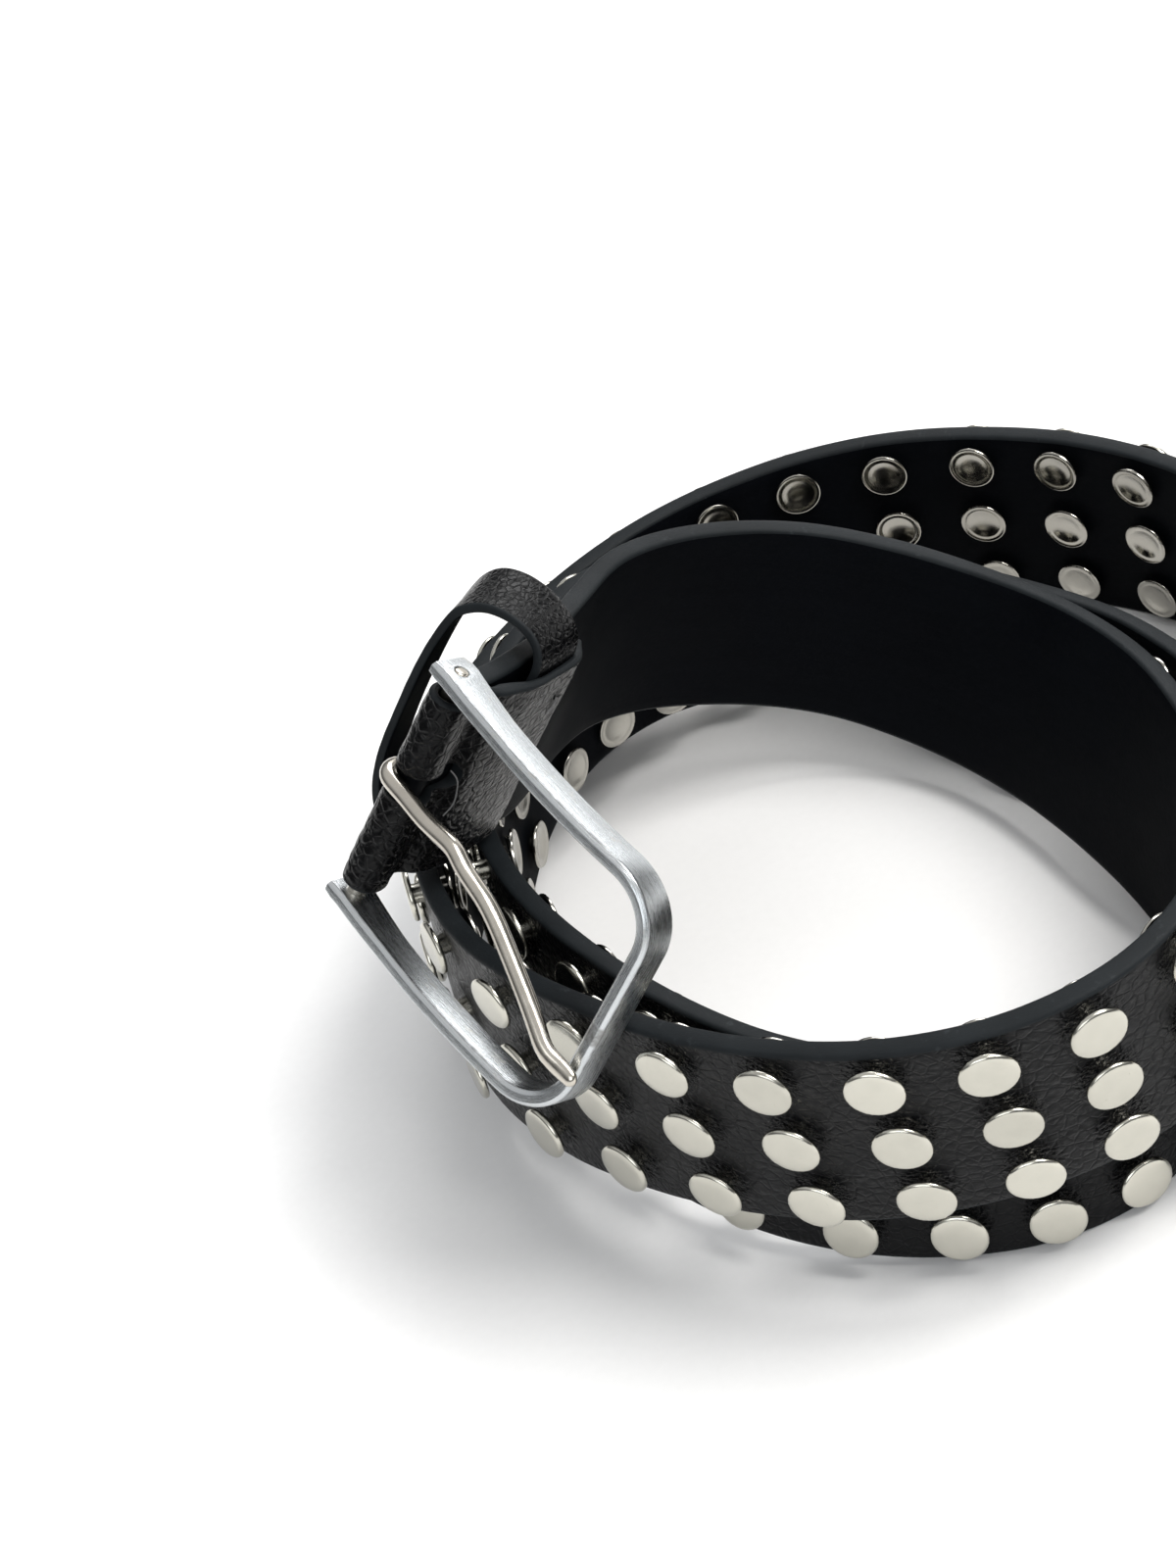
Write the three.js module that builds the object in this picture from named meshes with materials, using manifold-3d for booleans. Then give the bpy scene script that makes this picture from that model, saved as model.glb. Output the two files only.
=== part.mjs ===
// Studded leather belt, wound into a loose coil that stands on its lower edge.
// Millimetres, +Z up. The origin is under the middle of the whole belt, on the surface it stands on.
import * as THREE from 'three';
import { mergeVertices } from 'three/addons/utils/BufferGeometryUtils.js';
import Module from 'manifold-3d';

const wasm = await Module();
wasm.setup();

// ---------------------------------------------------------------- driving sizes
const STRAP_WIDTH = 38;
const STRAP_THICK = 3.5;
const STATION_STEP = 9;           // along the strap, between two sections
const FLOOR_PRESS = 0.2;          // how far the lower edge is flattened where it stands

const COIL_CENTRE = { x: -2.65, y: 3.26 };   // the point that the turns below are measured round

const STUD_ROW_PITCH = 12.8;      // three rows across the strap
const STUD_CAP_R = 4.5;
const STUD_CAP_THICK = 1.1;
const STUD_OUTER_STAND = 2.6;     // outer cap's face above the grain side
const STUD_INNER_STAND = 1.7;     // inner cap's face above the flesh side
const STUD_INNER_THICK = 0.8;
const STUD_STEM_R = 1.7;
const STUD_HOLE_R = 2.4;

const BAR_R = 1.6;
const BAR_LENGTH = 46.9;          // its peened ends stand a little out of the frame's outer faces
const FRAME_WIDTH_BAR = 44.0;     // between the middles of the two arms, at the bar
const FRAME_WIDTH_END = 43.4;     // the same, at the closed end
const FRAME_LENGTH = 51.2;        // bar to the middle of the closed end
const FRAME_STRIP = 2.6;          // the strip's thickness
const FRAME_DEPTH = 5.6;          // the strip's width, which stands on edge
const FRAME_CORNER_R = 9.5;
const FRAME_ARCH = 2.4;           // the arms bow forward by this much in their middle
const FRAME_TAIL = 3.2;           // the arms reach past the bar by this much
const FRAME_CHAMFER = 0.6;
const FRAME_EAR = 1.25;            // the arms widen by this factor at the bar

const PRONG_R = 1.45;
const CHAPE_LENGTH = 34;          // the folded-back end, from the bar
const CHAPE_STRAIGHT = 5;         // how far the strap runs straight from the bar
const CHAPE_BOW = 0.0047;         // and then bows outward by this much times the square of the distance
const CHAPE_SKIN = 1.3;           // the thinned leather round the bar
const CHAPE_PAD = 3.3;            // outer radius of the leather round the bar
const SLOT_HALF = 2.6;            // half the width of the slot for the prong
const SLOT_REACH = 9.5;
const SLOT_MIDDLE = 2;            // above the middle of the bar

const KEEPER_FROM = 18.5;         // along the strap, from the bar
const KEEPER_WIDTH = 12;
const KEEPER_THICK = 1.5;
const GAP = 0.35;

const HOLE_R = 2.3;               // punched holes in the tail
const HOLE_PITCH = 20;
const HOLE_COUNT = 5;
const LAST_HOLE_TO_TIP = 34;

// ---------------------------------------------------------------- buckle end in space
const V = (x, y, z) => new THREE.Vector3(x, y, z);
const BAR_MIDDLE = V(COIL_CENTRE.x - 66.4, COIL_CENTRE.y - 17.1, 77.1);
const BAR_DIR = V(0.633, -0.043, 0.773).normalize();                      // towards the bar's upper end
const FRAME_DIR = square(V(0.349, -0.876, -0.334), BAR_DIR);               // from the bar to the closed end
const FRAME_FRONT = new THREE.Vector3().crossVectors(FRAME_DIR, BAR_DIR);  // out of the frame's front
const STRAP_DIR = square(V(0.648, 0.578, -0.496), BAR_DIR);                // from the bar into the strap
const STRAP_OUT = new THREE.Vector3().crossVectors(BAR_DIR, STRAP_DIR);    // out of the strap's grain side
const STRAP_MIDDLE = CHAPE_PAD - STRAP_THICK / 2;                          // the strap's middle above the bar's axis plane

function square(v, to) {
  return v.clone().addScaledVector(to, -v.dot(to)).normalize();
}

// ---------------------------------------------------------------- the strap's route
// turn: degrees round COIL_CENTRE from -X, clockwise from above; radius and height: of the strap's middle;
// lean: degrees that its upper edge leans outward.
const ROUTE = [
  { turn: 30.1, radius: 44.9, height: 55.6, lean: -26.2 },
  { turn: 48.1, radius: 45.7, height: 51.6, lean: -21.3 },
  { turn: 75, radius: 44.6, height: 42.3, lean: -7.3 },
  { turn: 105.4, radius: 41.8, height: 31.8, lean: 7.6 },
  { turn: 140.4, radius: 37.7, height: 25.4, lean: 19.4 },
  { turn: 176.9, radius: 39.8, height: 25.0, lean: 25.6 },
  { turn: 204.6, radius: 49.2, height: 25.2, lean: 23.4 },
  { turn: 226.5, radius: 63.5, height: 20.8, lean: 11.8 },
  { turn: 255, radius: 78.3, height: 19.0, lean: -0.4 },
  { turn: 285, radius: 71.5, height: 20.1, lean: -10.7 },
  { turn: 315, radius: 63.4, height: 24.7, lean: -14.1 },
  { turn: 345, radius: 59.9, height: 27.2, lean: -9.5 },
  { turn: 375, radius: 61.3, height: 28.2, lean: -4.0 },
  { turn: 405, radius: 63.8, height: 31.0, lean: -2.4 },
  { turn: 435, radius: 64.4, height: 27.4, lean: -5.0 },
  { turn: 465, radius: 57.8, height: 19.3, lean: -2.0 },
  { turn: 497, radius: 44.2, height: 18.6, lean: 17.0 },
  { turn: 530, radius: 47.4, height: 18.4, lean: 22.0 },
  { turn: 560, radius: 59.3, height: 22.5, lean: 12.0 },
  { turn: 587, radius: 76.8, height: 38.0, lean: -6.0 },
  { turn: 615, radius: 89.8, height: 42.6, lean: 3.6 },
  { turn: 645, radius: 83.5, height: 39.3, lean: 2.3 },
  { turn: 675, radius: 74.3, height: 36.1, lean: -3.3 },
  { turn: 705, radius: 71.1, height: 29.7, lean: -5.0 },
  { turn: 735, radius: 72.0, height: 24.7, lean: -4.4 },
  { turn: 765, radius: 75.9, height: 20.5, lean: -1.5 },
  { turn: 795, radius: 80.9, height: 19.2, lean: 0.9 },
  { turn: 825, radius: 84.8, height: 19.0, lean: 1.6 },
  { turn: 855, radius: 85.6, height: 19.0, lean: 0.8 },
  { turn: 885, radius: 86.3, height: 19.0, lean: -1.2 },
  { turn: 915, radius: 88.2, height: 18.9, lean: -3.0 },
  { turn: 945, radius: 92.4, height: 18.9, lean: -3.0 },
  { turn: 966, radius: 97.0, height: 18.9, lean: -2.5 },
];
const CHAPE_STEPS = [5, 14, 24, CHAPE_LENGTH];   // the first stretch, from the bar

// a point of the buckle end: distance from the bar along the strap, and height above the bar's plane, out of the grain side
function bow(x, h) {
  const d = Math.max(0, x - CHAPE_STRAIGHT), a = Math.atan(2 * CHAPE_BOW * d);
  return new THREE.Vector2(x - h * Math.sin(a), CHAPE_BOW * d * d + h * Math.cos(a));
}
function onChape(x, across, h) {
  const q = bow(x, h);
  return BAR_MIDDLE.clone().addScaledVector(STRAP_DIR, q.x).addScaledVector(BAR_DIR, across).addScaledVector(STRAP_OUT, q.y);
}

function frameOf(tangent, lean) {
  const up = square(V(0, 0, 1), tangent);
  const out = new THREE.Vector3().crossVectors(up, tangent);
  const a = THREE.MathUtils.degToRad(lean);
  return {
    across: up.clone().multiplyScalar(Math.cos(a)).addScaledVector(out, Math.sin(a)),
    out: out.clone().multiplyScalar(Math.cos(a)).addScaledVector(up, -Math.sin(a)),
  };
}

// lean of the buckle end, from the bar's direction
const BAR_LEAN = (() => {
  const f = frameOf(STRAP_DIR, 0);
  return THREE.MathUtils.radToDeg(Math.atan2(BAR_DIR.dot(f.out), BAR_DIR.dot(f.across)));
})();

const rows = [
  ...CHAPE_STEPS.map((s) => {
    const p = onChape(s, 0, STRAP_MIDDLE);
    return [p.x, p.y, p.z, BAR_LEAN];
  }),
  ...ROUTE.map((r) => {
    const a = THREE.MathUtils.degToRad(r.turn);
    return [COIL_CENTRE.x - r.radius * Math.cos(a), COIL_CENTRE.y + r.radius * Math.sin(a), r.height - FLOOR_PRESS, r.lean];
  }),
];

// natural cubic spline through the rows, by chord length
function naturalSpline(t, y) {
  const n = t.length, m = new Array(n).fill(0), c = new Array(n).fill(0), d = new Array(n).fill(0);
  for (let i = 1; i < n - 1; i++) {
    const h0 = t[i] - t[i - 1], h1 = t[i + 1] - t[i];
    const w = 2 * (h0 + h1) - h0 * c[i - 1];
    c[i] = h1 / w;
    d[i] = (6 * ((y[i + 1] - y[i]) / h1 - (y[i] - y[i - 1]) / h0) - h0 * d[i - 1]) / w;
  }
  for (let i = n - 2; i > 0; i--) m[i] = d[i] - c[i] * m[i + 1];
  return (x) => {
    let i = 0;
    while (i < n - 2 && x > t[i + 1]) i++;
    const h = t[i + 1] - t[i], a = (t[i + 1] - x) / h, b = (x - t[i]) / h;
    return a * y[i] + b * y[i + 1] + ((a * a * a - a) * m[i] + (b * b * b - b) * m[i + 1]) * h * h / 6;
  };
}
const chord = [0];
for (let i = 1; i < rows.length; i++) {
  chord.push(chord[i - 1] + Math.hypot(rows[i][0] - rows[i - 1][0], rows[i][1] - rows[i - 1][1], rows[i][2] - rows[i - 1][2]));
}
const line = [0, 1, 2, 3].map((k) => naturalSpline(chord, rows.map((r) => r[k])));
const CHORD_END = chord[chord.length - 1];
const point = (t) => V(line[0](t), line[1](t), line[2](t));

// arc length along the strap
const FINE = 4000;
const arcTable = [0];
for (let i = 1, p = point(0); i <= FINE; i++) {
  const q = point(CHORD_END * i / FINE);
  arcTable.push(arcTable[i - 1] + q.distanceTo(p));
  p = q;
}
const STRAP_LENGTH = arcTable[FINE];
function place(s) {
  let lo = 0, hi = FINE;
  while (hi - lo > 1) { const mid = (lo + hi) >> 1; if (arcTable[mid] > s) hi = mid; else lo = mid; }
  const t = CHORD_END * (lo + (s - arcTable[lo]) / (arcTable[hi] - arcTable[lo])) / FINE;
  const e = 0.05;
  const tangent = point(Math.min(CHORD_END, t + e)).sub(point(Math.max(0, t - e))).normalize();
  return { at: point(t), tangent, ...frameOf(tangent, line[3](t)) };
}
const onStrap = (f, across, out) => f.at.clone().addScaledVector(f.across, across).addScaledVector(f.out, out);

// ---------------------------------------------------------------- solids
function toSolid(geometry) {
  const g = geometry.clone();
  for (const name of ['normal', 'uv']) if (g.attributes[name]) g.deleteAttribute(name);
  const m = mergeVertices(g, 1e-5);
  const src = m.index.array, tri = [];
  for (let i = 0; i < src.length; i += 3) {
    const [a, b, c] = [src[i], src[i + 1], src[i + 2]];
    if (a !== b && b !== c && c !== a) tri.push(a, b, c);
  }
  let solid = new wasm.Manifold(new wasm.Mesh({
    numProp: 3, vertProperties: new Float32Array(m.attributes.position.array), triVerts: new Uint32Array(tri),
  }));
  if (solid.volume() < 0) {
    const flip = [];
    for (let i = 0; i < tri.length; i += 3) flip.push(tri[i], tri[i + 2], tri[i + 1]);
    solid = new wasm.Manifold(new wasm.Mesh({
      numProp: 3, vertProperties: new Float32Array(m.attributes.position.array), triVerts: new Uint32Array(flip),
    }));
  }
  return solid;
}
function toGeometry(solid) {
  const mesh = solid.getMesh();
  const g = new THREE.BufferGeometry();
  const pos = new Float32Array(mesh.numVert * 3);
  for (let i = 0; i < mesh.numVert; i++) for (let k = 0; k < 3; k++) pos[3 * i + k] = mesh.vertProperties[i * mesh.numProp + k];
  g.setAttribute('position', new THREE.BufferAttribute(pos, 3));
  g.setIndex(new THREE.BufferAttribute(new Uint32Array(mesh.triVerts), 1));
  g.computeVertexNormals();
  return g;
}

// skin through a row of equal sections; closed rings join the last to the first
function loft(sections, closed = false) {
  const k = sections[0].length, pos = [], idx = [];
  for (const s of sections) for (const p of s) pos.push(p.x, p.y, p.z);
  const n = sections.length, last = closed ? n : n - 1;
  for (let i = 0; i < last; i++) for (let j = 0; j < k; j++) {
    const a = i * k + j, b = i * k + (j + 1) % k, c = ((i + 1) % n) * k + j, d = ((i + 1) % n) * k + (j + 1) % k;
    idx.push(a, c, b, b, c, d);
  }
  if (!closed) {
    for (let j = 1; j < k - 1; j++) idx.push(0, j, j + 1);
    const o = (n - 1) * k;
    for (let j = 1; j < k - 1; j++) idx.push(o, o + j + 1, o + j);
  }
  const g = new THREE.BufferGeometry();
  g.setAttribute('position', new THREE.Float32BufferAttribute(pos, 3));
  g.setIndex(idx);
  return g;
}
const basis = (x, y, z, o) => new THREE.Matrix4().makeBasis(x, y, z).setPosition(o);

// a flat-ended round body along z, from a profile of radius and height
function turned(profile, sides) {
  const pts = profile.map((p) => new THREE.Vector2(p.r, p.z));
  return new THREE.LatheGeometry([new THREE.Vector2(0, profile[0].z), ...pts, new THREE.Vector2(0, profile[profile.length - 1].z)], sides)
    .applyMatrix4(new THREE.Matrix4().makeRotationX(Math.PI / 2));
}

// ---------------------------------------------------------------- strap
// columns of three rivets: column number and its distance along the strap, evenly spaced between rows of this table
const STUD_COLUMNS = [
  { column: 0, along: 222.2 }, { column: 2, along: 253.6 }, { column: 3, along: 266.5 }, { column: 4, along: 280.2 },
  { column: 5, along: 295.0 }, { column: 11, along: 393.7 }, { column: 12, along: 407.2 }, { column: 13, along: 426.8 },
  { column: 29, along: 672.7 }, { column: 30, along: 687.4 }, { column: 31, along: 703.1 }, { column: 32, along: 719.2 },
  { column: 33, along: 735.7 }, { column: 34, along: 753.3 }, { column: 35, along: 772.8 }, { column: 36, along: 795.1 },
  { column: 45, along: 946.1 }, { column: 50, along: 1029.9 },
];
function columnAlong(c) {
  for (let i = 1; i < STUD_COLUMNS.length; i++) if (c <= STUD_COLUMNS[i].column) {
    const a = STUD_COLUMNS[i - 1], b = STUD_COLUMNS[i];
    return a.along + (b.along - a.along) * (c - a.column) / (b.column - a.column);
  }
  return null;
}

// half-width of the rounded tail, by distance from its tip
const TAIL = [
  { fromTip: 0, half: 2.0 }, { fromTip: 1.2, half: 6.5 }, { fromTip: 3.5, half: 10.8 }, { fromTip: 7.5, half: 14.6 },
  { fromTip: 13, half: 17.4 }, { fromTip: 20, half: STRAP_WIDTH / 2 },
];
function halfWidth(s) {
  const d = STRAP_LENGTH - s;
  for (let i = 1; i < TAIL.length; i++) if (d <= TAIL[i].fromTip) {
    const a = TAIL[i - 1], b = TAIL[i];
    return a.half + (b.half - a.half) * (d - a.fromTip) / (b.fromTip - a.fromTip);
  }
  return STRAP_WIDTH / 2;
}
// sections: evenly spaced up to the studs, one on each side of the first columns, where the strap turns tightly,
// then one between each two stud columns, then the tail
const TIGHT_TO = 6, TIGHT_HALF = 5.4;
const stations = [];
const evenly = (from, to, step) => {
  const n = Math.ceil((to - from) / step);
  for (let i = 0; i < n; i++) stations.push(from + (to - from) * i / n);
};
const lastColumn = STUD_COLUMNS[STUD_COLUMNS.length - 1].column;
evenly(0, columnAlong(0) - TIGHT_HALF, STATION_STEP);
for (let c = 0; c <= TIGHT_TO; c++) stations.push(columnAlong(c) - TIGHT_HALF, columnAlong(c) + TIGHT_HALF);
for (let c = TIGHT_TO + 1; c < lastColumn; c++) stations.push((columnAlong(c) + columnAlong(c + 1)) / 2);
evenly(columnAlong(lastColumn) + 8, STRAP_LENGTH - TAIL[TAIL.length - 1].fromTip, 2 * STATION_STEP);
for (let i = TAIL.length - 1; i >= 0; i--) stations.push(STRAP_LENGTH - TAIL[i].fromTip);

// the place on the flat stretch between two sections
function flatPlace(s) {
  let i = 0;
  while (i < stations.length - 2 && stations[i + 1] <= s) i++;
  const a = place(stations[i]), b = place(stations[i + 1]), k = (s - stations[i]) / (stations[i + 1] - stations[i]);
  const tangent = b.at.clone().sub(a.at).normalize();
  const across = square(a.across.clone().lerp(b.across, k), tangent);
  return { at: a.at.clone().lerp(b.at, k), tangent, across, out: new THREE.Vector3().crossVectors(across, tangent) };
}

let strap = toSolid(loft(stations.map((s) => {
  const f = place(s), w = halfWidth(s), t = STRAP_THICK / 2;
  return [onStrap(f, -w, -t), onStrap(f, w, -t), onStrap(f, w, t), onStrap(f, -w, t)];
})));

// the end that is folded round the bar: along x from the bar into the strap, y out of the grain side
const inner = CHAPE_PAD - STRAP_THICK;                 // the strap's flesh side, in y
const channelTop = inner - 0.15, channelFloor = channelTop - GAP * 2 - KEEPER_THICK;
const padRing = [];
for (let i = 0; i <= 10; i++) {
  const a = Math.PI / 2 + Math.PI * i / 10;
  padRing.push(new THREE.Vector2(CHAPE_PAD * Math.cos(a), CHAPE_PAD * Math.sin(a)));
}
// the outline and the channel's, with their long sides divided and bowed as the strap is
function bowed(points, step = 4.5) {
  const out = [];
  points.forEach((p, i) => {
    const q = points[(i + 1) % points.length], n = Math.max(1, Math.round(Math.abs(q.x - p.x) / step));
    for (let k = 0; k < n; k++) out.push(bow(p.x + (q.x - p.x) * k / n, p.y + (q.y - p.y) * k / n));
  });
  return out;
}
const channelFrom = KEEPER_FROM - GAP, channelTo = KEEPER_FROM + KEEPER_WIDTH + GAP;
const channelOutline = bowed([
  new THREE.Vector2(channelFrom, channelTop), new THREE.Vector2(channelTo, channelTop),
  new THREE.Vector2(channelTo, channelFloor), new THREE.Vector2(channelFrom, channelFloor),
]);
const chapeOutline = new THREE.Shape(bowed([
  new THREE.Vector2(8, CHAPE_PAD), ...padRing,
  new THREE.Vector2(8, -CHAPE_PAD + 0.4),
  new THREE.Vector2(channelFrom - 2.6, channelFloor - CHAPE_SKIN),
  new THREE.Vector2(channelTo + 0.8, channelFloor - CHAPE_SKIN),
  new THREE.Vector2(CHAPE_LENGTH + 2, inner - CHAPE_SKIN),
  new THREE.Vector2(CHAPE_LENGTH + 2.2, inner + 0.1),
  new THREE.Vector2(CHAPE_LENGTH - 1, inner + 0.3),
  new THREE.Vector2(12, inner + 0.3), new THREE.Vector2(12, CHAPE_PAD - 0.2),
]));
const chapePlace = basis(STRAP_DIR, STRAP_OUT, new THREE.Vector3().crossVectors(STRAP_DIR, STRAP_OUT), BAR_MIDDLE);
const prism = (shape, depth) => toSolid(new THREE.ExtrudeGeometry(shape, { depth, bevelEnabled: false, curveSegments: 1 })
  .translate(0, 0, -depth / 2).applyMatrix4(chapePlace));
const box = (x, y, z, cx, cy, cz, m) => toSolid(new THREE.BoxGeometry(x, y, z).translate(cx, cy, cz).applyMatrix4(m));
strap = strap.add(prism(chapeOutline, STRAP_WIDTH));
// clear the bar, the keeper's channel and the prong's slot right through
strap = strap.subtract(toSolid(new THREE.CylinderGeometry(BAR_R + 0.3, BAR_R + 0.3, STRAP_WIDTH + 8, 12)
  .rotateX(Math.PI / 2).applyMatrix4(chapePlace)));
strap = strap.subtract(prism(new THREE.Shape(channelOutline), STRAP_WIDTH + 6));
// z of that place runs up the bar
strap = strap.subtract(box(SLOT_REACH + 8, 16, 2 * SLOT_HALF, SLOT_REACH / 2 - 4, 0, SLOT_MIDDLE, chapePlace));

// punched holes in the tail
for (let i = 0; i < HOLE_COUNT; i++) {
  const f = place(STRAP_LENGTH - LAST_HOLE_TO_TIP - i * HOLE_PITCH);
  strap = strap.subtract(toSolid(new THREE.CylinderGeometry(HOLE_R, HOLE_R, STRAP_THICK + 4, 10)
    .rotateX(Math.PI / 2).applyMatrix4(basis(f.tangent, f.across, f.out.clone().negate(), f.at))));
}

// ---------------------------------------------------------------- studs
// the columns whose rivets are separate pieces, with the rows that are: 0 lower, 1 middle, 2 upper
const SEPARATE = [
  { turnName: 'outer', from: 29, to: 36, rows: [0, 1, 2] },
];
const separate = (c, r) => SEPARATE.find((e) => c >= e.from && c <= e.to && e.rows.includes(r));

const outerFace = STRAP_THICK / 2 + STUD_OUTER_STAND, innerFace = -STRAP_THICK / 2 - STUD_INNER_STAND;
const rivet = turned([
  { r: STUD_CAP_R, z: outerFace }, { r: STUD_CAP_R, z: outerFace - STUD_CAP_THICK }, { r: STUD_STEM_R, z: outerFace - STUD_CAP_THICK },
  { r: STUD_STEM_R, z: innerFace + STUD_INNER_THICK }, { r: STUD_CAP_R - 0.2, z: innerFace + STUD_INNER_THICK }, { r: STUD_CAP_R - 0.2, z: innerFace },
], 8);
// a rivet that is joined to the strap: a six-sided puck on each side
const puck = (from, to) => new THREE.CylinderGeometry(STUD_CAP_R + 0.1, STUD_CAP_R + 0.1, to - from, 6).rotateX(Math.PI / 2).translate(0, 0, (from + to) / 2);
const puckOut = puck(STRAP_THICK / 2 - 1.4, outerFace), puckIn = puck(innerFace, -STRAP_THICK / 2 + 1.4);
const stemHole = new THREE.CylinderGeometry(STUD_HOLE_R, STUD_HOLE_R, STRAP_THICK + 2, 6).rotateX(Math.PI / 2);

const studs = [];
for (let c = 0; c <= lastColumn; c++) {
  const f = flatPlace(columnAlong(c));
  for (let r = 0; r < 3; r++) {
    const m = basis(f.across, f.tangent, f.out, onStrap(f, (r - 1) * STUD_ROW_PITCH, 0));
    const own = separate(c, r);
    if (own) {
      strap = strap.subtract(toSolid(stemHole.clone().applyMatrix4(m)));
      studs.push({ name: `stud_${own.turnName}_${c - own.from + 1}_${['lower', 'middle', 'upper'][r]}`, geometry: toGeometry(toSolid(rivet.clone().applyMatrix4(m))) });
    } else {
      strap = strap.add(toSolid(puckOut.clone().applyMatrix4(m))).add(toSolid(puckIn.clone().applyMatrix4(m)));
    }
  }
}
// the lower edge is pressed flat where it stands
strap = strap.subtract(toSolid(new THREE.BoxGeometry(600, 600, 50).translate(COIL_CENTRE.x, COIL_CENTRE.y, -25)));
strap = strap.asOriginal().simplify(0.001);

// ---------------------------------------------------------------- keeper loop
// outline of its outer face, across the strap (towards the bar's upper end) and out of the grain side:
// on its edge nearer to the bar, and on its far edge, where it flares
const KEEPER_BACK = channelTop - GAP - KEEPER_THICK;
const KEEPER_OUTLINE = [
  { across: 24.9, out: 3.2, farAcross: 25.6, farOut: 3.6 }, { across: 24.7, out: 6.9, farAcross: 26.3, farOut: 7.2 },
  { across: 23.8, out: 9.9, farAcross: 26.1, farOut: 10.6 }, { across: 22.4, out: 12.2, farAcross: 25.1, farOut: 13.5 },
  { across: 19.8, out: 14.6, farAcross: 22.8, farOut: 16.0 }, { across: 15.5, out: 15.9, farAcross: 18.2, farOut: 17.6 },
  { across: 9.5, out: 16.7, farAcross: 11.0, farOut: 18.4 }, { across: 0.5, out: 16.8, farAcross: 1.0, farOut: 18.6 },
  { across: -8.0, out: 16.5, farAcross: -8.0, farOut: 18.2 }, { across: -15.0, out: 15.2, farAcross: -15.2, farOut: 16.8 },
  { across: -19.4, out: 12.8, farAcross: -19.8, farOut: 14.0 }, { across: -21.8, out: 9.6, farAcross: -22.2, farOut: 10.4 },
  { across: -23.0, out: 6.0, farAcross: -23.2, farOut: 6.4 }, { across: -22.9, out: 2.4, farAcross: -23.0, farOut: 2.6 },
  { across: -22.4, out: -0.4, farAcross: -22.4, farOut: -0.3 }, { across: -20.6, out: KEEPER_BACK, farAcross: -20.6, farOut: KEEPER_BACK },
  { across: 20.6, out: KEEPER_BACK, farAcross: 20.8, farOut: KEEPER_BACK }, { across: 23.6, out: -0.2, farAcross: 23.9, farOut: 0.0 },
];
// an outline's points and the same points moved in by the leather's thickness
function walled(points) {
  return points.map((p, i) => {
    const n = points.length, a = points[(i + n - 1) % n], b = points[(i + 1) % n];
    const ta = p.clone().sub(a).normalize(), tb = b.clone().sub(p).normalize();
    const t = ta.clone().add(tb).normalize(), cos = Math.max(0.5, t.dot(tb));
    return [p, p.clone().add(new THREE.Vector2(-t.y, t.x).multiplyScalar(KEEPER_THICK / cos))];
  });
}
const keeperNear = walled(KEEPER_OUTLINE.map((p) => new THREE.Vector2(p.across, p.out)));
const keeperFar = walled(KEEPER_OUTLINE.map((p) => new THREE.Vector2(p.farAcross, p.farOut)));
const keeperSections = keeperNear.map(([o, q], i) => {
  const [fo, fq] = keeperFar[i], at = (k, a, b) => onChape(KEEPER_FROM + KEEPER_WIDTH * k, a.x + (b.x - a.x) * k, a.y + (b.y - a.y) * k);
  return [at(0, o, fo), at(0.5, o, fo), at(1, o, fo), at(1, q, fq), at(0.5, q, fq), at(0, q, fq)];
});
const keeper = toSolid(loft(keeperSections, true));

// ---------------------------------------------------------------- buckle frame with its bar
// the strip's middle line in the frame's plane: along from the bar, across towards the bar's upper end
function frameLine() {
  const half = (x) => (FRAME_WIDTH_BAR + (FRAME_WIDTH_END - FRAME_WIDTH_BAR) * x / FRAME_LENGTH) / 2;
  const up = [], steps = 6, straight = FRAME_LENGTH - FRAME_CORNER_R;
  for (let i = 0; i <= steps; i++) { const x = -FRAME_TAIL + (straight + FRAME_TAIL) * i / steps; up.push({ x, y: half(x) }); }
  for (let i = 1; i <= 5; i++) {
    const a = Math.PI / 2 * (1 - i / 5);
    up.push({ x: straight + FRAME_CORNER_R * Math.cos(a), y: half(straight) - FRAME_CORNER_R + FRAME_CORNER_R * Math.sin(a) });
  }
  return [...up, ...up.slice().reverse().map((p) => ({ x: p.x, y: -p.y }))];
}
const FRAME_SECTION = (() => {
  const w = FRAME_STRIP / 2, h = FRAME_DEPTH / 2, c = FRAME_CHAMFER;
  return [[-w, -h], [w, -h], [w, h - c], [w - c, h], [-w + c, h], [-w, h - c]];
})();
const arch = (x) => FRAME_ARCH * (1 - ((x - FRAME_LENGTH / 2) / (FRAME_LENGTH / 2)) ** 2);
const frameAt = (x, y, z) => BAR_MIDDLE.clone().addScaledVector(FRAME_DIR, x).addScaledVector(BAR_DIR, y).addScaledVector(FRAME_FRONT, z);
const fl = frameLine();
const frameSections = fl.map((p, i) => {
  const a = fl[Math.max(0, i - 1)], b = fl[Math.min(fl.length - 1, i + 1)];
  const t = new THREE.Vector2(b.x - a.x, b.y - a.y).normalize(), o = new THREE.Vector2(-t.y, t.x);
  const x = Math.max(0, Math.min(FRAME_LENGTH, p.x));
  const ear = 1 + (FRAME_EAR - 1) * Math.max(0, Math.min(1, 1 - p.x / 12));
  return FRAME_SECTION.map(([u, v]) => frameAt(p.x + o.x * u, p.y + o.y * u, v * ear + arch(x)));
});
let frame = toSolid(loft(frameSections));
const bar = new THREE.CylinderGeometry(BAR_R, BAR_R, BAR_LENGTH, 12)
  .applyMatrix4(basis(FRAME_DIR, BAR_DIR, new THREE.Vector3().crossVectors(FRAME_DIR, BAR_DIR), BAR_MIDDLE));
frame = frame.add(toSolid(bar));

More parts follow.
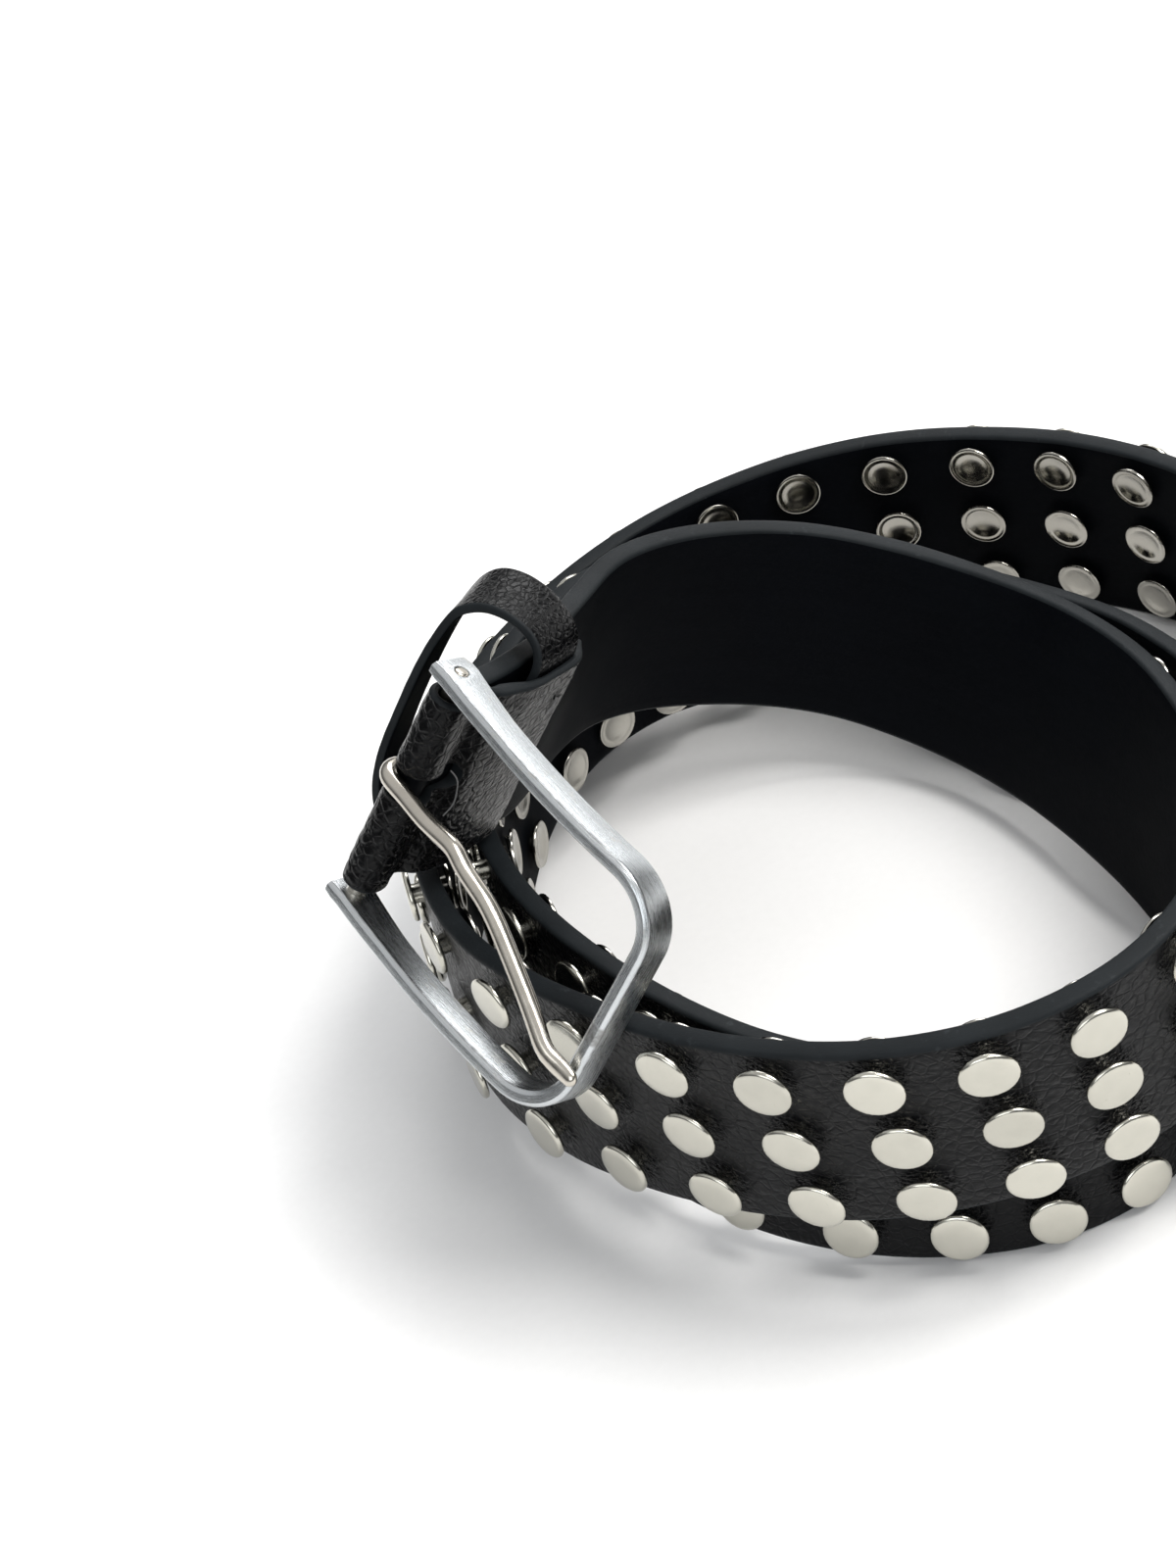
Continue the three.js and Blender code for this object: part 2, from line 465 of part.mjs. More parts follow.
// ---------------------------------------------------------------- prong
// its middle line: along the frame, across it, and out of its front
const LOOP_R = BAR_R + 0.35 + PRONG_R;
const PRONG_LINE = [
  { along: 3.5, across: 2.2, front: 3.8, wide: 1, flat: 1 },
  { along: 9.1, across: 2.3, front: 4.3, wide: 1, flat: 1 },
  { along: 13.5, across: 2.8, front: 4.5, wide: 1, flat: 1 },
  { along: 16.4, across: 2.8, front: 4.5, wide: 1, flat: 1 },
  { along: 18.6, across: 2.0, front: 4.5, wide: 1, flat: 1 },
  { along: 24.7, across: 0.6, front: 4.4, wide: 1, flat: 1 },
  { along: 32.4, across: -2.5, front: 4.4, wide: 1, flat: 1 },
  { along: 38.6, across: -5.5, front: 4.5, wide: 1, flat: 1 },
  { along: 44.2, across: -8.5, front: 4.7, wide: 1.05, flat: 0.95 },
  { along: 47.0, across: -9.9, front: 4.75, wide: 1.1, flat: 0.85 },
  { along: 50.2, across: -10.4, front: 4.3, wide: 1.15, flat: 0.7 },
  { along: 53.6, across: -10.5, front: 4.1, wide: 0.8, flat: 0.55 },
];
const prongLine = [];
for (let i = 0; i <= 9; i++) {
  const a = THREE.MathUtils.degToRad(262 * (1 - i / 9));
  prongLine.push({ p: frameAt(-LOOP_R * Math.sin(a), SLOT_MIDDLE, LOOP_R * Math.cos(a)), wide: 1, flat: 1 });
}
for (const q of PRONG_LINE) prongLine.push({ p: frameAt(q.along, q.across, q.front), wide: q.wide, flat: q.flat });
const prong = toSolid(loft(prongLine.map((q, i) => {
  const a = prongLine[Math.max(0, i - 1)].p, b = prongLine[Math.min(prongLine.length - 1, i + 1)].p;
  const t = b.clone().sub(a).normalize(), side = square(BAR_DIR, t), up = new THREE.Vector3().crossVectors(t, side);
  const ring = [];
  for (let k = 0; k < 8; k++) {
    const w = Math.PI * (k + 0.5) / 4;
    ring.push(q.p.clone().addScaledVector(side, PRONG_R * q.wide * Math.cos(w)).addScaledVector(up, PRONG_R * q.flat * Math.sin(w)));
  }
  return ring;
})));

// ---------------------------------------------------------------- the belt
const leather = new THREE.MeshStandardMaterial({ color: 0x15171a, roughness: 0.5, metalness: 0 });
const keeperLeather = new THREE.MeshStandardMaterial({ color: 0x17191c, roughness: 0.48, metalness: 0 });
const nickel = () => new THREE.MeshStandardMaterial({ color: 0xcfcabd, roughness: 0.22, metalness: 1 });
const steel = new THREE.MeshStandardMaterial({ color: 0xc3ccd2, roughness: 0.32, metalness: 1 });
const wire = new THREE.MeshStandardMaterial({ color: 0xbdb6a6, roughness: 0.25, metalness: 1 });

const belt = new THREE.Group();
function piece(name, geometry, material) {
  const mesh = new THREE.Mesh(geometry, material);
  mesh.name = name;
  belt.add(mesh);
}
piece('strap', toGeometry(strap), leather);
piece('keeper_loop', toGeometry(keeper), keeperLeather);
piece('buckle_frame', toGeometry(frame), steel);
piece('prong', toGeometry(prong), wire);
for (const s of studs) piece(s.name, s.geometry, nickel());

export default belt;
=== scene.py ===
import math
import bpy
import bmesh
import numpy as np
from mathutils import Matrix, Vector


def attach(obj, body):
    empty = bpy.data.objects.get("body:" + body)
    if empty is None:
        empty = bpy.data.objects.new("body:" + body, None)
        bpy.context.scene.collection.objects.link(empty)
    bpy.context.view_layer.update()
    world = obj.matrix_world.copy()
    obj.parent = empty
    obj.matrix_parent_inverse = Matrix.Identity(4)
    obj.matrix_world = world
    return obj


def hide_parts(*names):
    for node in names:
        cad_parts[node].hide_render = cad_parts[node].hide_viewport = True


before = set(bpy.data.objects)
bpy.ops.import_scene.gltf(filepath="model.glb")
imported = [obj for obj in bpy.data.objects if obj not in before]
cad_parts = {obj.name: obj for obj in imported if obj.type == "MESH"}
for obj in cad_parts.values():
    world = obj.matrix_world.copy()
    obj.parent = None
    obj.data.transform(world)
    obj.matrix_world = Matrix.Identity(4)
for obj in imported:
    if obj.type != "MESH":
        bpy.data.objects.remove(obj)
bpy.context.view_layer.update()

MM = 0.001
rng = np.random.default_rng(17)

# ------------------------------------------------------------------ sizes, in millimetres, as in the CAD
STRAP_WIDTH = 38.0
STRAP_THICK = 3.5
FLOOR_PRESS = 0.2
COIL_CENTRE = (-2.65, 3.26)
STUD_ROW_PITCH = 12.8
BAR_R = 1.6
FRAME_WIDTH_BAR, FRAME_WIDTH_END = 44.0, 43.4
FRAME_LENGTH = 51.2
FRAME_STRIP, FRAME_DEPTH = 2.6, 5.6
FRAME_CORNER_R = 9.5
FRAME_ARCH = 2.4
FRAME_TAIL = 3.2
PRONG_R = 1.45
CHAPE_LENGTH, CHAPE_STRAIGHT, CHAPE_BOW = 34.0, 5.0, 0.0047
CHAPE_PAD = 3.3
SLOT_HALF, SLOT_MIDDLE = 2.6, 2.0
SLOT_REACH = 9.5
KEEPER_FROM, KEEPER_WIDTH, KEEPER_THICK = 18.5, 12.0, 1.5
GAP = 0.35
HOLE_R, HOLE_PITCH, HOLE_COUNT, LAST_HOLE_TO_TIP = 2.3, 20.0, 5, 34.0


def unit(v):
    v = np.asarray(v, float)
    return v / np.linalg.norm(v)


def square(v, to):
    v = np.asarray(v, float)
    return unit(v - np.dot(v, to) * to)


BAR_MIDDLE = np.array([COIL_CENTRE[0] - 66.4, COIL_CENTRE[1] - 17.1, 77.1])
BAR_DIR = unit([0.633, -0.043, 0.773])
FRAME_DIR = square([0.349, -0.876, -0.334], BAR_DIR)
FRAME_FRONT = np.cross(FRAME_DIR, BAR_DIR)
STRAP_DIR = square([0.648, 0.578, -0.496], BAR_DIR)
STRAP_OUT = np.cross(BAR_DIR, STRAP_DIR)
STRAP_MIDDLE = CHAPE_PAD - STRAP_THICK / 2



def bow(x, h):
    """Bent place of a point of the buckle end: distance from the bar, and height out of the grain side."""
    x, h = np.asarray(x, float), np.asarray(h, float)
    d = np.maximum(0, x - CHAPE_STRAIGHT)
    a = np.arctan(2 * CHAPE_BOW * d)
    return x - h * np.sin(a), CHAPE_BOW * d * d + h * np.cos(a)


def on_chape(x, across, h):
    qx, qh = bow(x, h)
    qx, qh, across = np.broadcast_arrays(qx, qh, across)
    return BAR_MIDDLE + qx[..., None] * STRAP_DIR + across[..., None] * BAR_DIR + qh[..., None] * STRAP_OUT


# turn, radius, height, lean
ROUTE = np.array([
    (30.1, 44.9, 55.6, -26.2), (48.1, 45.7, 51.6, -21.3), (75, 44.6, 42.3, -7.3), (105.4, 41.8, 31.8, 7.6),
    (140.4, 37.7, 25.4, 19.4), (176.9, 39.8, 25.0, 25.6), (204.6, 49.2, 25.2, 23.4), (226.5, 63.5, 20.8, 11.8),
    (255, 78.3, 19.0, -0.4), (285, 71.5, 20.1, -10.7), (315, 63.4, 24.7, -14.1), (345, 59.9, 27.2, -9.5),
    (375, 61.3, 28.2, -4.0), (405, 63.8, 31.0, -2.4), (435, 64.4, 27.4, -5.0), (465, 57.8, 19.3, -2.0),
    (497, 44.2, 18.6, 17.0), (530, 47.4, 18.4, 22.0), (560, 59.3, 22.5, 12.0), (587, 76.8, 38.0, -6.0),
    (615, 89.8, 42.6, 3.6), (645, 83.5, 39.3, 2.3), (675, 74.3, 36.1, -3.3), (705, 71.1, 29.7, -5.0),
    (735, 72.0, 24.7, -4.4), (765, 75.9, 20.5, -1.5), (795, 80.9, 19.2, 0.9), (825, 84.8, 19.0, 1.6),
    (855, 85.6, 19.0, 0.8), (885, 86.3, 19.0, -1.2), (915, 88.2, 18.9, -3.0), (945, 92.4, 18.9, -3.0),
    (966, 97.0, 18.9, -2.5)])
# column, distance along the strap
STUD_COLUMNS = np.array([
    (0, 222.2), (2, 253.6), (3, 266.5), (4, 280.2), (5, 295.0), (11, 393.7), (12, 407.2), (13, 426.8),
    (29, 672.7), (30, 687.4), (31, 703.1), (32, 719.2), (33, 735.7), (34, 753.3), (35, 772.8), (36, 795.1),
    (45, 946.1), (50, 1029.9)])


def ring_frames(tangent, lean_deg):
    """Across and outward directions for arrays of tangents and leans."""
    z = np.array([0.0, 0.0, 1.0])
    up = z - tangent * tangent[:, 2:3]
    up /= np.linalg.norm(up, axis=1, keepdims=True)
    out = np.cross(up, tangent)
    a = np.radians(lean_deg)[:, None]
    return np.cos(a) * up + np.sin(a) * out, np.cos(a) * out - np.sin(a) * up


_a0, _o0 = ring_frames(STRAP_DIR[None], np.array([0.0]))
BAR_LEAN = math.degrees(math.atan2(BAR_DIR @ _o0[0], BAR_DIR @ _a0[0]))

rows = [np.append(on_chape(s, 0.0, STRAP_MIDDLE), BAR_LEAN) for s in (5.0, 14.0, 24.0, CHAPE_LENGTH)]
for turn, radius, height, lean in ROUTE:
    a = math.radians(turn)
    rows.append(np.array([COIL_CENTRE[0] - radius * math.cos(a), COIL_CENTRE[1] + radius * math.sin(a), height - FLOOR_PRESS, lean]))
rows = np.array(rows)
chord = np.concatenate([[0], np.cumsum(np.linalg.norm(np.diff(rows[:, :3], axis=0), axis=1))])


def natural_spline(t, y):
    """Natural cubic spline through the rows y at t; returns a function of an array."""
    n = len(t)
    h = np.diff(t)
    A = np.zeros((n, n))
    r = np.zeros((n, y.shape[1]))
    A[0, 0] = A[-1, -1] = 1
    for i in range(1, n - 1):
        A[i, i - 1], A[i, i], A[i, i + 1] = h[i - 1], 2 * (h[i - 1] + h[i]), h[i]
        r[i] = 6 * ((y[i + 1] - y[i]) / h[i] - (y[i] - y[i - 1]) / h[i - 1])
    m = np.linalg.solve(A, r)

    def f(x):
        x = np.atleast_1d(np.asarray(x, float))
        i = np.clip(np.searchsorted(t, x, side="right") - 1, 0, n - 2)
        hh = h[i][:, None]
        a = (t[i + 1] - x)[:, None] / hh
        b = (x - t[i])[:, None] / hh
        return a * y[i] + b * y[i + 1] + ((a ** 3 - a) * m[i] + (b ** 3 - b) * m[i + 1]) * hh ** 2 / 6
    return f


line = natural_spline(chord, rows)
_t = np.linspace(0, chord[-1], 12001)
_p = line(_t)[:, :3]
_arc = np.concatenate([[0], np.cumsum(np.linalg.norm(np.diff(_p, axis=0), axis=1))])
STRAP_LENGTH = float(_arc[-1])


def place(s):
    """Centre, tangent, across and outward at distances s along the strap."""
    s = np.atleast_1d(np.asarray(s, float))
    t = np.interp(s, _arc, _t)
    e = 0.05
    tan = line(np.minimum(chord[-1], t + e))[:, :3] - line(np.maximum(0, t - e))[:, :3]
    tan /= np.linalg.norm(tan, axis=1, keepdims=True)
    v = line(t)
    across, out = ring_frames(tan, v[:, 3])
    return v[:, :3], tan, across, out


def smooth_noise(x, y, seed, octaves=3):
    """A cheap smooth noise in two dimensions, about -1 to 1, from seeded waves."""
    r = np.random.default_rng(seed)
    out = np.zeros(np.broadcast(x, y).shape)
    amp, total = 1.0, 0.0
    f = 1.0
    for _ in range(octaves):
        for _ in range(5):
            th = r.uniform(0, 2 * math.pi)
            k = f * r.uniform(0.6, 1.5)
            out = out + amp * np.sin(k * (x * math.cos(th) + y * math.sin(th)) + r.uniform(0, 6.28)) / 2.2
        total += amp
        amp *= 0.55
        f *= 2.1
    return out / total


# ------------------------------------------------------------------ mesh helpers
def make_mesh(name, verts_mm, faces, mats, face_mat=None, smooth=True, sharp=None, attrs=None):
    me = bpy.data.meshes.new(name)
    me.from_pydata((np.asarray(verts_mm) * MM).tolist(), [], faces)
    for m in mats:
        me.materials.append(m)
    if face_mat is not None:
        me.polygons.foreach_set("material_index", np.asarray(face_mat, np.int32))
    me.polygons.foreach_set("use_smooth", [bool(smooth)] * len(me.polygons))
    if sharp is not None:
        me.set_sharp_from_angle(angle=math.radians(sharp))
    for key, arr in (attrs or {}).items():
        at = me.attributes.new(key, "FLOAT_VECTOR", "POINT")
        at.data.foreach_set("vector", np.asarray(arr, np.float32).ravel())
    me.update()
    ob = bpy.data.objects.new(name, me)
    bpy.context.scene.collection.objects.link(ob)
    return ob


def loft_faces(n, k, closed):
    """Quads through n rings of k points."""
    faces = []
    last = n if closed else n - 1
    for i in range(last):
        a0, b0 = i * k, ((i + 1) % n) * k
        for j in range(k):
            j1 = (j + 1) % k
            faces.append((a0 + j, a0 + j1, b0 + j1, b0 + j))
    if not closed:
        faces.append(tuple(range(k - 1, -1, -1)))
        faces.append(tuple((n - 1) * k + j for j in range(k)))
    return faces


def outward(ob):
    bm = bmesh.new()
    bm.from_mesh(ob.data)
    bmesh.ops.recalc_face_normals(bm, faces=bm.faces)
    bm.to_mesh(ob.data)
    bm.free()


def cut(ob, cutter):
    """Takes the cutter object out of ob and removes it."""
    mod = ob.modifiers.new("cut", "BOOLEAN")
    mod.operation = "DIFFERENCE"
    mod.solver = "EXACT"
    mod.object = cutter
    dg = bpy.context.evaluated_depsgraph_get()
    new = bpy.data.meshes.new_from_object(ob.evaluated_get(dg), preserve_all_data_layers=True, depsgraph=dg)
    ob.modifiers.clear()
    old = ob.data
    ob.data = new
    bpy.data.meshes.remove(old)
    me = cutter.data
    bpy.data.objects.remove(cutter)
    bpy.data.meshes.remove(me)


# ------------------------------------------------------------------ materials
class Nodes:
    """Short calls for building a node tree."""

    def __init__(self, name):
        self.mat = bpy.data.materials.new(name)
        self.mat.use_nodes = True
        self.t = self.mat.node_tree
        self.t.nodes.clear()
        self.out = self.t.nodes.new("ShaderNodeOutputMaterial")
        self.bsdf = self.t.nodes.new("ShaderNodeBsdfPrincipled")
        self.t.links.new(self.bsdf.outputs[0], self.out.inputs[0])

    def put(self, socket, value):
        if hasattr(value, "is_output"):
            self.t.links.new(value, socket)
        elif value is not None:
            socket.default_value = value

    def attr(self, name):
        n = self.t.nodes.new("ShaderNodeAttribute")
        n.attribute_name = name
        return n.outputs["Vector"]

    def coords(self):
        return self.t.nodes.new("ShaderNodeTexCoord").outputs["Object"]

    def scale(self, vec, s):
        n = self.t.nodes.new("ShaderNodeVectorMath")
        n.operation = "MULTIPLY"
        self.put(n.inputs[0], vec)
        n.inputs[1].default_value = s if isinstance(s, tuple) else (s, s, s)
        return n.outputs[0]

    def vadd(self, a, b):
        n = self.t.nodes.new("ShaderNodeVectorMath")
        n.operation = "ADD"
        self.put(n.inputs[0], a)
        self.put(n.inputs[1], b)
        return n.outputs[0]

    def split(self, vec):
        n = self.t.nodes.new("ShaderNodeSeparateXYZ")
        self.put(n.inputs[0], vec)
        return n.outputs[0], n.outputs[1], n.outputs[2]

    def join(self, x=0.0, y=0.0, z=0.0):
        n = self.t.nodes.new("ShaderNodeCombineXYZ")
        for i, v in enumerate((x, y, z)):
            self.put(n.inputs[i], v)
        return n.outputs[0]

    def noise(self, vec, scale, detail=3.0, rough=0.55, dist=0.0, color=False):
        n = self.t.nodes.new("ShaderNodeTexNoise")
        self.put(n.inputs["Vector"], vec)
        n.inputs["Scale"].default_value = scale
        n.inputs["Detail"].default_value = detail
        n.inputs["Roughness"].default_value = rough
        n.inputs["Distortion"].default_value = dist
        return n.outputs["Color" if color else "Fac"]

    def voronoi(self, vec, scale, feature="F1", rand=1.0):
        n = self.t.nodes.new("ShaderNodeTexVoronoi")
        n.feature = feature
        self.put(n.inputs["Vector"], vec)
        n.inputs["Scale"].default_value = scale
        n.inputs["Randomness"].default_value = rand
        return n.outputs["Distance"]

    def math(self, op, a, b=None, c=None, clamp=False):
        n = self.t.nodes.new("ShaderNodeMath")
        n.operation = op
        n.use_clamp = clamp
        for i, v in enumerate((a, b, c)):
            if v is not None:
                self.put(n.inputs[i], v)
        return n.outputs[0]

    def range(self, v, a, b, lo=0.0, hi=1.0, smooth=False):
        n = self.t.nodes.new("ShaderNodeMapRange")
        n.interpolation_type = "SMOOTHSTEP" if smooth else "LINEAR"
        self.put(n.inputs[0], v)
        n.inputs[1].default_value = a
        n.inputs[2].default_value = b
        n.inputs[3].default_value = lo
        n.inputs[4].default_value = hi
        return n.outputs[0]

    def mix(self, f, a, b):
        n = self.t.nodes.new("ShaderNodeMix")
        n.data_type = "RGBA"
        self.put(n.inputs[0], f)
        for i, v in ((6, a), (7, b)):
            if hasattr(v, "is_output"):
                self.put(n.inputs[i], v)
            else:
                n.inputs[i].default_value = (*v, 1.0)
        return n.outputs[2]

    def bump(self, height, strength, distance, normal=None):
        n = self.t.nodes.new("ShaderNodeBump")
        n.inputs["Strength"].default_value = strength
        n.inputs["Distance"].default_value = distance
        self.put(n.inputs["Height"], height)
        if normal is not None:
            self.put(n.inputs["Normal"], normal)
        return n.outputs[0]

    def set(self, **kw):
        names = {"color": "Base Color", "rough": "Roughness", "metal": "Metallic", "normal": "Normal", "spec": "Specular IOR Level",
                 "sheen": "Sheen Weight", "sheen_rough": "Sheen Roughness", "coat": "Coat Weight", "coat_rough": "Coat Roughness", "aniso": "Anisotropic"}
        for k, v in kw.items():
            s = self.bsdf.inputs[names[k]]
            if isinstance(v, tuple) and len(v) == 3 and k == "color":
                v = (*v, 1.0)
            self.put(s, v)
        return self.mat


def leather_outer(name, pebble=0.9, dark=(0.0020, 0.0021, 0.0024), pale=(0.0046, 0.0049, 0.0057), rough=0.31, studs=True, spec=0.12, bump=0.8, depth=0.00028, fine_part=0.25):
    n = Nodes(name)
    sw = n.attr("sw")
    warp = n.scale(n.noise(n.scale(sw, 0.35), 1.0, 2.0, color=True), 0.9)
    v = n.vadd(sw, warp)
    cells = n.voronoi(n.scale(v, (0.92, 1.0, 1.0)), pebble, "SMOOTH_F1")
    pebbles = n.range(cells, 0.15, 0.75, 1.0, 0.0)
    creases = n.range(n.voronoi(v, pebble * 0.55, "DISTANCE_TO_EDGE"), 0.0, 0.16, 0.0, 1.0, True)
    fine = n.noise(sw, 3.2, 3.0, 0.6)
    broad = n.noise(sw, 0.06, 3.0, 0.6)
    height = n.math("ADD", n.math("MULTIPLY", pebbles, 0.55), n.math("ADD", n.math("MULTIPLY", creases, 0.35), n.math("MULTIPLY", fine, fine_part)))
    tone = n.range(n.math("ADD", broad, n.math("MULTIPLY", fine, 0.35)), 0.45, 0.9)
    color = n.mix(tone, dark, pale)
    r = n.math("ADD", n.range(broad, 0.3, 0.7, rough - 0.05, rough + 0.07), n.range(creases, 0.0, 1.0, 0.08, 0.0))
    if studs:
        toward, beside, dist = n.split(n.attr("stud"))
        turned = n.vadd(n.join(toward, beside, n.math("MULTIPLY", dist, 0.35)), n.scale(sw, (0.11, 0.13, 0.0)))
        rays = n.noise(turned, 3.2, 2.0, 0.6)
        near = n.range(dist, 4.0, 6.3, 1.0, 0.0, True)
        height = n.math("ADD", height, n.math("MULTIPLY", n.math("MULTIPLY", rays, near), 2.0))
        wet = n.math("MULTIPLY", near, n.range(rays, 0.42, 0.6, 0.0, 1.0, True), clamp=True)
        r = n.math("SUBTRACT", r, n.math("MULTIPLY", wet, 0.2))
        # painted shade: the grain colour is darkened in a ring just outside each cap, standing in for the stud's
        # contact shadow
        color = n.mix(n.math("MULTIPLY", near, 0.6), color, (0.002, 0.0021, 0.0024))
    normal = n.bump(height, bump, depth)
    return n.set(color=color, rough=r, normal=normal, spec=spec)


def leather_inner(name):
    n = Nodes(name)
    sw = n.attr("sw")
    fibre = n.noise(n.scale(sw, (0.6, 1.0, 1.0)), 2.2, 4.0, 0.7)
    broad = n.noise(sw, 0.05, 3.0, 0.6)
    streak = n.noise(n.scale(sw, (0.03, 0.5, 1.0)), 1.0, 3.0, 0.6)
    tone = n.range(n.math("ADD", n.math("MULTIPLY", fibre, 0.5), n.math("ADD", n.math("MULTIPLY", broad, 0.6), n.math("MULTIPLY", streak, 0.3))), 0.45, 0.95)
    color = n.mix(tone, (0.0010, 0.0014, 0.0022), (0.0026, 0.0033, 0.0047))
    rough = n.range(broad, 0.3, 0.7, 0.56, 0.68)
    height = n.math("ADD", fibre, n.math("MULTIPLY", n.noise(sw, 0.8, 2.0), 0.6))
    return n.set(color=color, rough=rough, normal=n.bump(height, 0.25, 0.00018), spec=0.035)


def edge_paint(name):
    n = Nodes(name)
    sw = n.attr("sw")
    s, w, layer = n.split(sw)
    fine = n.noise(n.scale(sw, (1.0, 1.0, 6.0)), 1.3, 4.0, 0.65)
    broad = n.noise(sw, 0.08, 2.0, 0.6)
    worn = n.range(n.noise(sw, 0.5, 4.0, 0.7), 0.6, 0.72, 0.0, 0.55, True)
    color = n.mix(n.range(n.math("ADD", n.math("MULTIPLY", fine, 0.5), n.math("MULTIPLY", broad, 0.7)), 0.4, 0.85), (0.0042, 0.0056, 0.0068), (0.0105, 0.0132, 0.0152))
    color = n.mix(worn, color, (0.024, 0.028, 0.031))
    rough = n.range(fine, 0.3, 0.7, 0.5, 0.68)
    return n.set(color=color, rough=rough, normal=n.bump(n.math("ADD", fine, n.math("MULTIPLY", broad, 0.5)), 0.3, 0.0002), spec=0.15)


def nickel(name, color, rough, scratch=0.35):
    n = Nodes(name)
    p = n.scale(n.coords(), 1000.0)
    ident = n.attr("tint")
    tx, ty, tz = n.split(ident)
    smudge = n.noise(n.vadd(n.scale(p, 0.35), n.scale(ident, 7.0)), 1.0, 4.0, 0.65)
    fine = n.noise(n.scale(p, (0.8, 0.8, 6.0)), 2.5, 3.0, 0.7)
    tone = n.range(n.math("ADD", n.math("MULTIPLY", smudge, 0.7), n.math("MULTIPLY", tx, 0.5)), 0.3, 0.9)
    dim = tuple(c * 0.82 for c in color)
    c = n.mix(tone, dim, color)
    pits = n.range(n.noise(n.vadd(p, n.scale(ident, 3.0)), 1.9, 3.0, 0.75), 0.66, 0.76, 0.0, 0.5, True)
    c = n.mix(pits, c, tuple(x * 0.45 for x in color))
    r = n.math("ADD", n.range(smudge, 0.35, 0.7, rough * 0.75, rough * 1.35), n.math("MULTIPLY", pits, 0.2))
    height = n.math("ADD", n.math("MULTIPLY", smudge, 0.8), n.math("MULTIPLY", fine, scratch))
    return n.set(color=c, rough=r, metal=1.0, normal=n.bump(height, 0.12, 0.00012))


def satin_steel(name, color=(0.60, 0.625, 0.64), rough=0.28):
    n = Nodes(name)
    p = n.attr("along")
    brush = n.noise(n.scale(p, (0.25, 5.0, 5.0)), 1.0, 4.0, 0.65)
    broad = n.noise(n.scale(p, (0.12, 0.4, 0.4)), 1.0, 3.0, 0.6)
    worn = n.range(n.noise(n.scale(p, (0.2, 0.5, 0.5)), 1.0, 4.0, 0.7), 0.58, 0.7, 0.0, 0.6, True)
    c = n.mix(broad, tuple(x * 0.82 for x in color), color)
    c = n.mix(worn, c, (0.52, 0.51, 0.48))
    px, pu, pv = n.split(p)
    # a painted dark reflection line where the flat sides turn into the chamfers, and a rubbed spot on the closed end
    # beside the prong's tip
    dark_reflection_line = n.range(n.math("ABSOLUTE", n.math("SUBTRACT", pv, 2.10)), 0.08, 0.30, 1.0, 0.0, True)
    dark_reflection_line = n.math("MULTIPLY", dark_reflection_line, n.range(n.noise(n.scale(p, (0.5, 1.0, 1.0)), 1.0, 3.0, 0.6), 0.35, 0.6, 0.35, 0.9))
    c = n.mix(dark_reflection_line, c, (0.20, 0.205, 0.21))
    pits = n.range(n.noise(p, 2.6, 4.0, 0.75), 0.62, 0.72, 0.0, 0.45, True)
    c = n.mix(pits, c, (0.34, 0.345, 0.35))
    spot = n.math("MULTIPLY", n.range(n.math("ABSOLUTE", n.math("SUBTRACT", px, 75.0)), 1.3, 2.1, 1.0, 0.0, True), n.range(pv, 1.2, 2.0, 0.0, 1.0))
    c = n.mix(n.math("MULTIPLY", spot, n.range(n.noise(p, 1.1, 3.0, 0.7), 0.35, 0.6, 0.35, 1.0)), c, (0.24, 0.24, 0.235))
    r = n.math("ADD", n.range(brush, 0.3, 0.7, rough - 0.07, rough + 0.05), n.math("MULTIPLY", n.math("ADD", worn, pits), 0.06))
    r = n.math("ADD", r, n.math("MULTIPLY", spot, 0.12))
    dents = n.math("ADD", brush, n.math("MULTIPLY", broad, 0.9))
    dents = n.math("SUBTRACT", dents, n.math("MULTIPLY", n.math("ADD", pits, spot), 0.7))
    return n.set(color=c, rough=r, metal=1.0, normal=n.bump(dents, 0.22, 0.00016))


M_OUTER = leather_outer("strap_grain")
M_INNER = leather_inner("strap_flesh")
M_EDGE = edge_paint("strap_edge")
M_FOLD = leather_outer("fold_grain", pebble=0.95, dark=(0.0010, 0.0010, 0.0012), pale=(0.0026, 0.0027, 0.0031), rough=0.22, studs=False, spec=0.13, bump=0.8, depth=0.00034, fine_part=0.1)
M_KEEPER = leather_outer("keeper_grain", pebble=1.15, dark=(0.0010, 0.0010, 0.0012), pale=(0.0026, 0.0027, 0.0031), rough=0.24, studs=False, spec=0.11, bump=0.7, depth=0.00024, fine_part=0.1)
M_CAP = nickel("stud_face", (0.57, 0.555, 0.49), 0.2)
M_CAP_IN = nickel("stud_back", (0.44, 0.425, 0.385), 0.15)
M_STEEL = satin_steel("buckle_satin")
M_WIRE = nickel("prong_wire", (0.62, 0.58, 0.51), 0.2)

# ------------------------------------------------------------------ studs: where they are
columns = np.arange(int(STUD_COLUMNS[-1, 0]) + 1)
column_s = np.interp(columns, STUD_COLUMNS[:, 0], STUD_COLUMNS[:, 1])
stud_s = np.repeat(column_s, 3) + rng.normal(0, 0.12, len(columns) * 3)
stud_w = np.tile([-STUD_ROW_PITCH, 0.0, STUD_ROW_PITCH], len(columns)) + rng.normal(0, 0.12, len(columns) * 3)

# ------------------------------------------------------------------ strap, one sheet from its folded end to its tip
N_OUT, N_IN, N_ARC, N_EDGE = 31, 21, 3, 3
EDGE_ROUND = 0.7


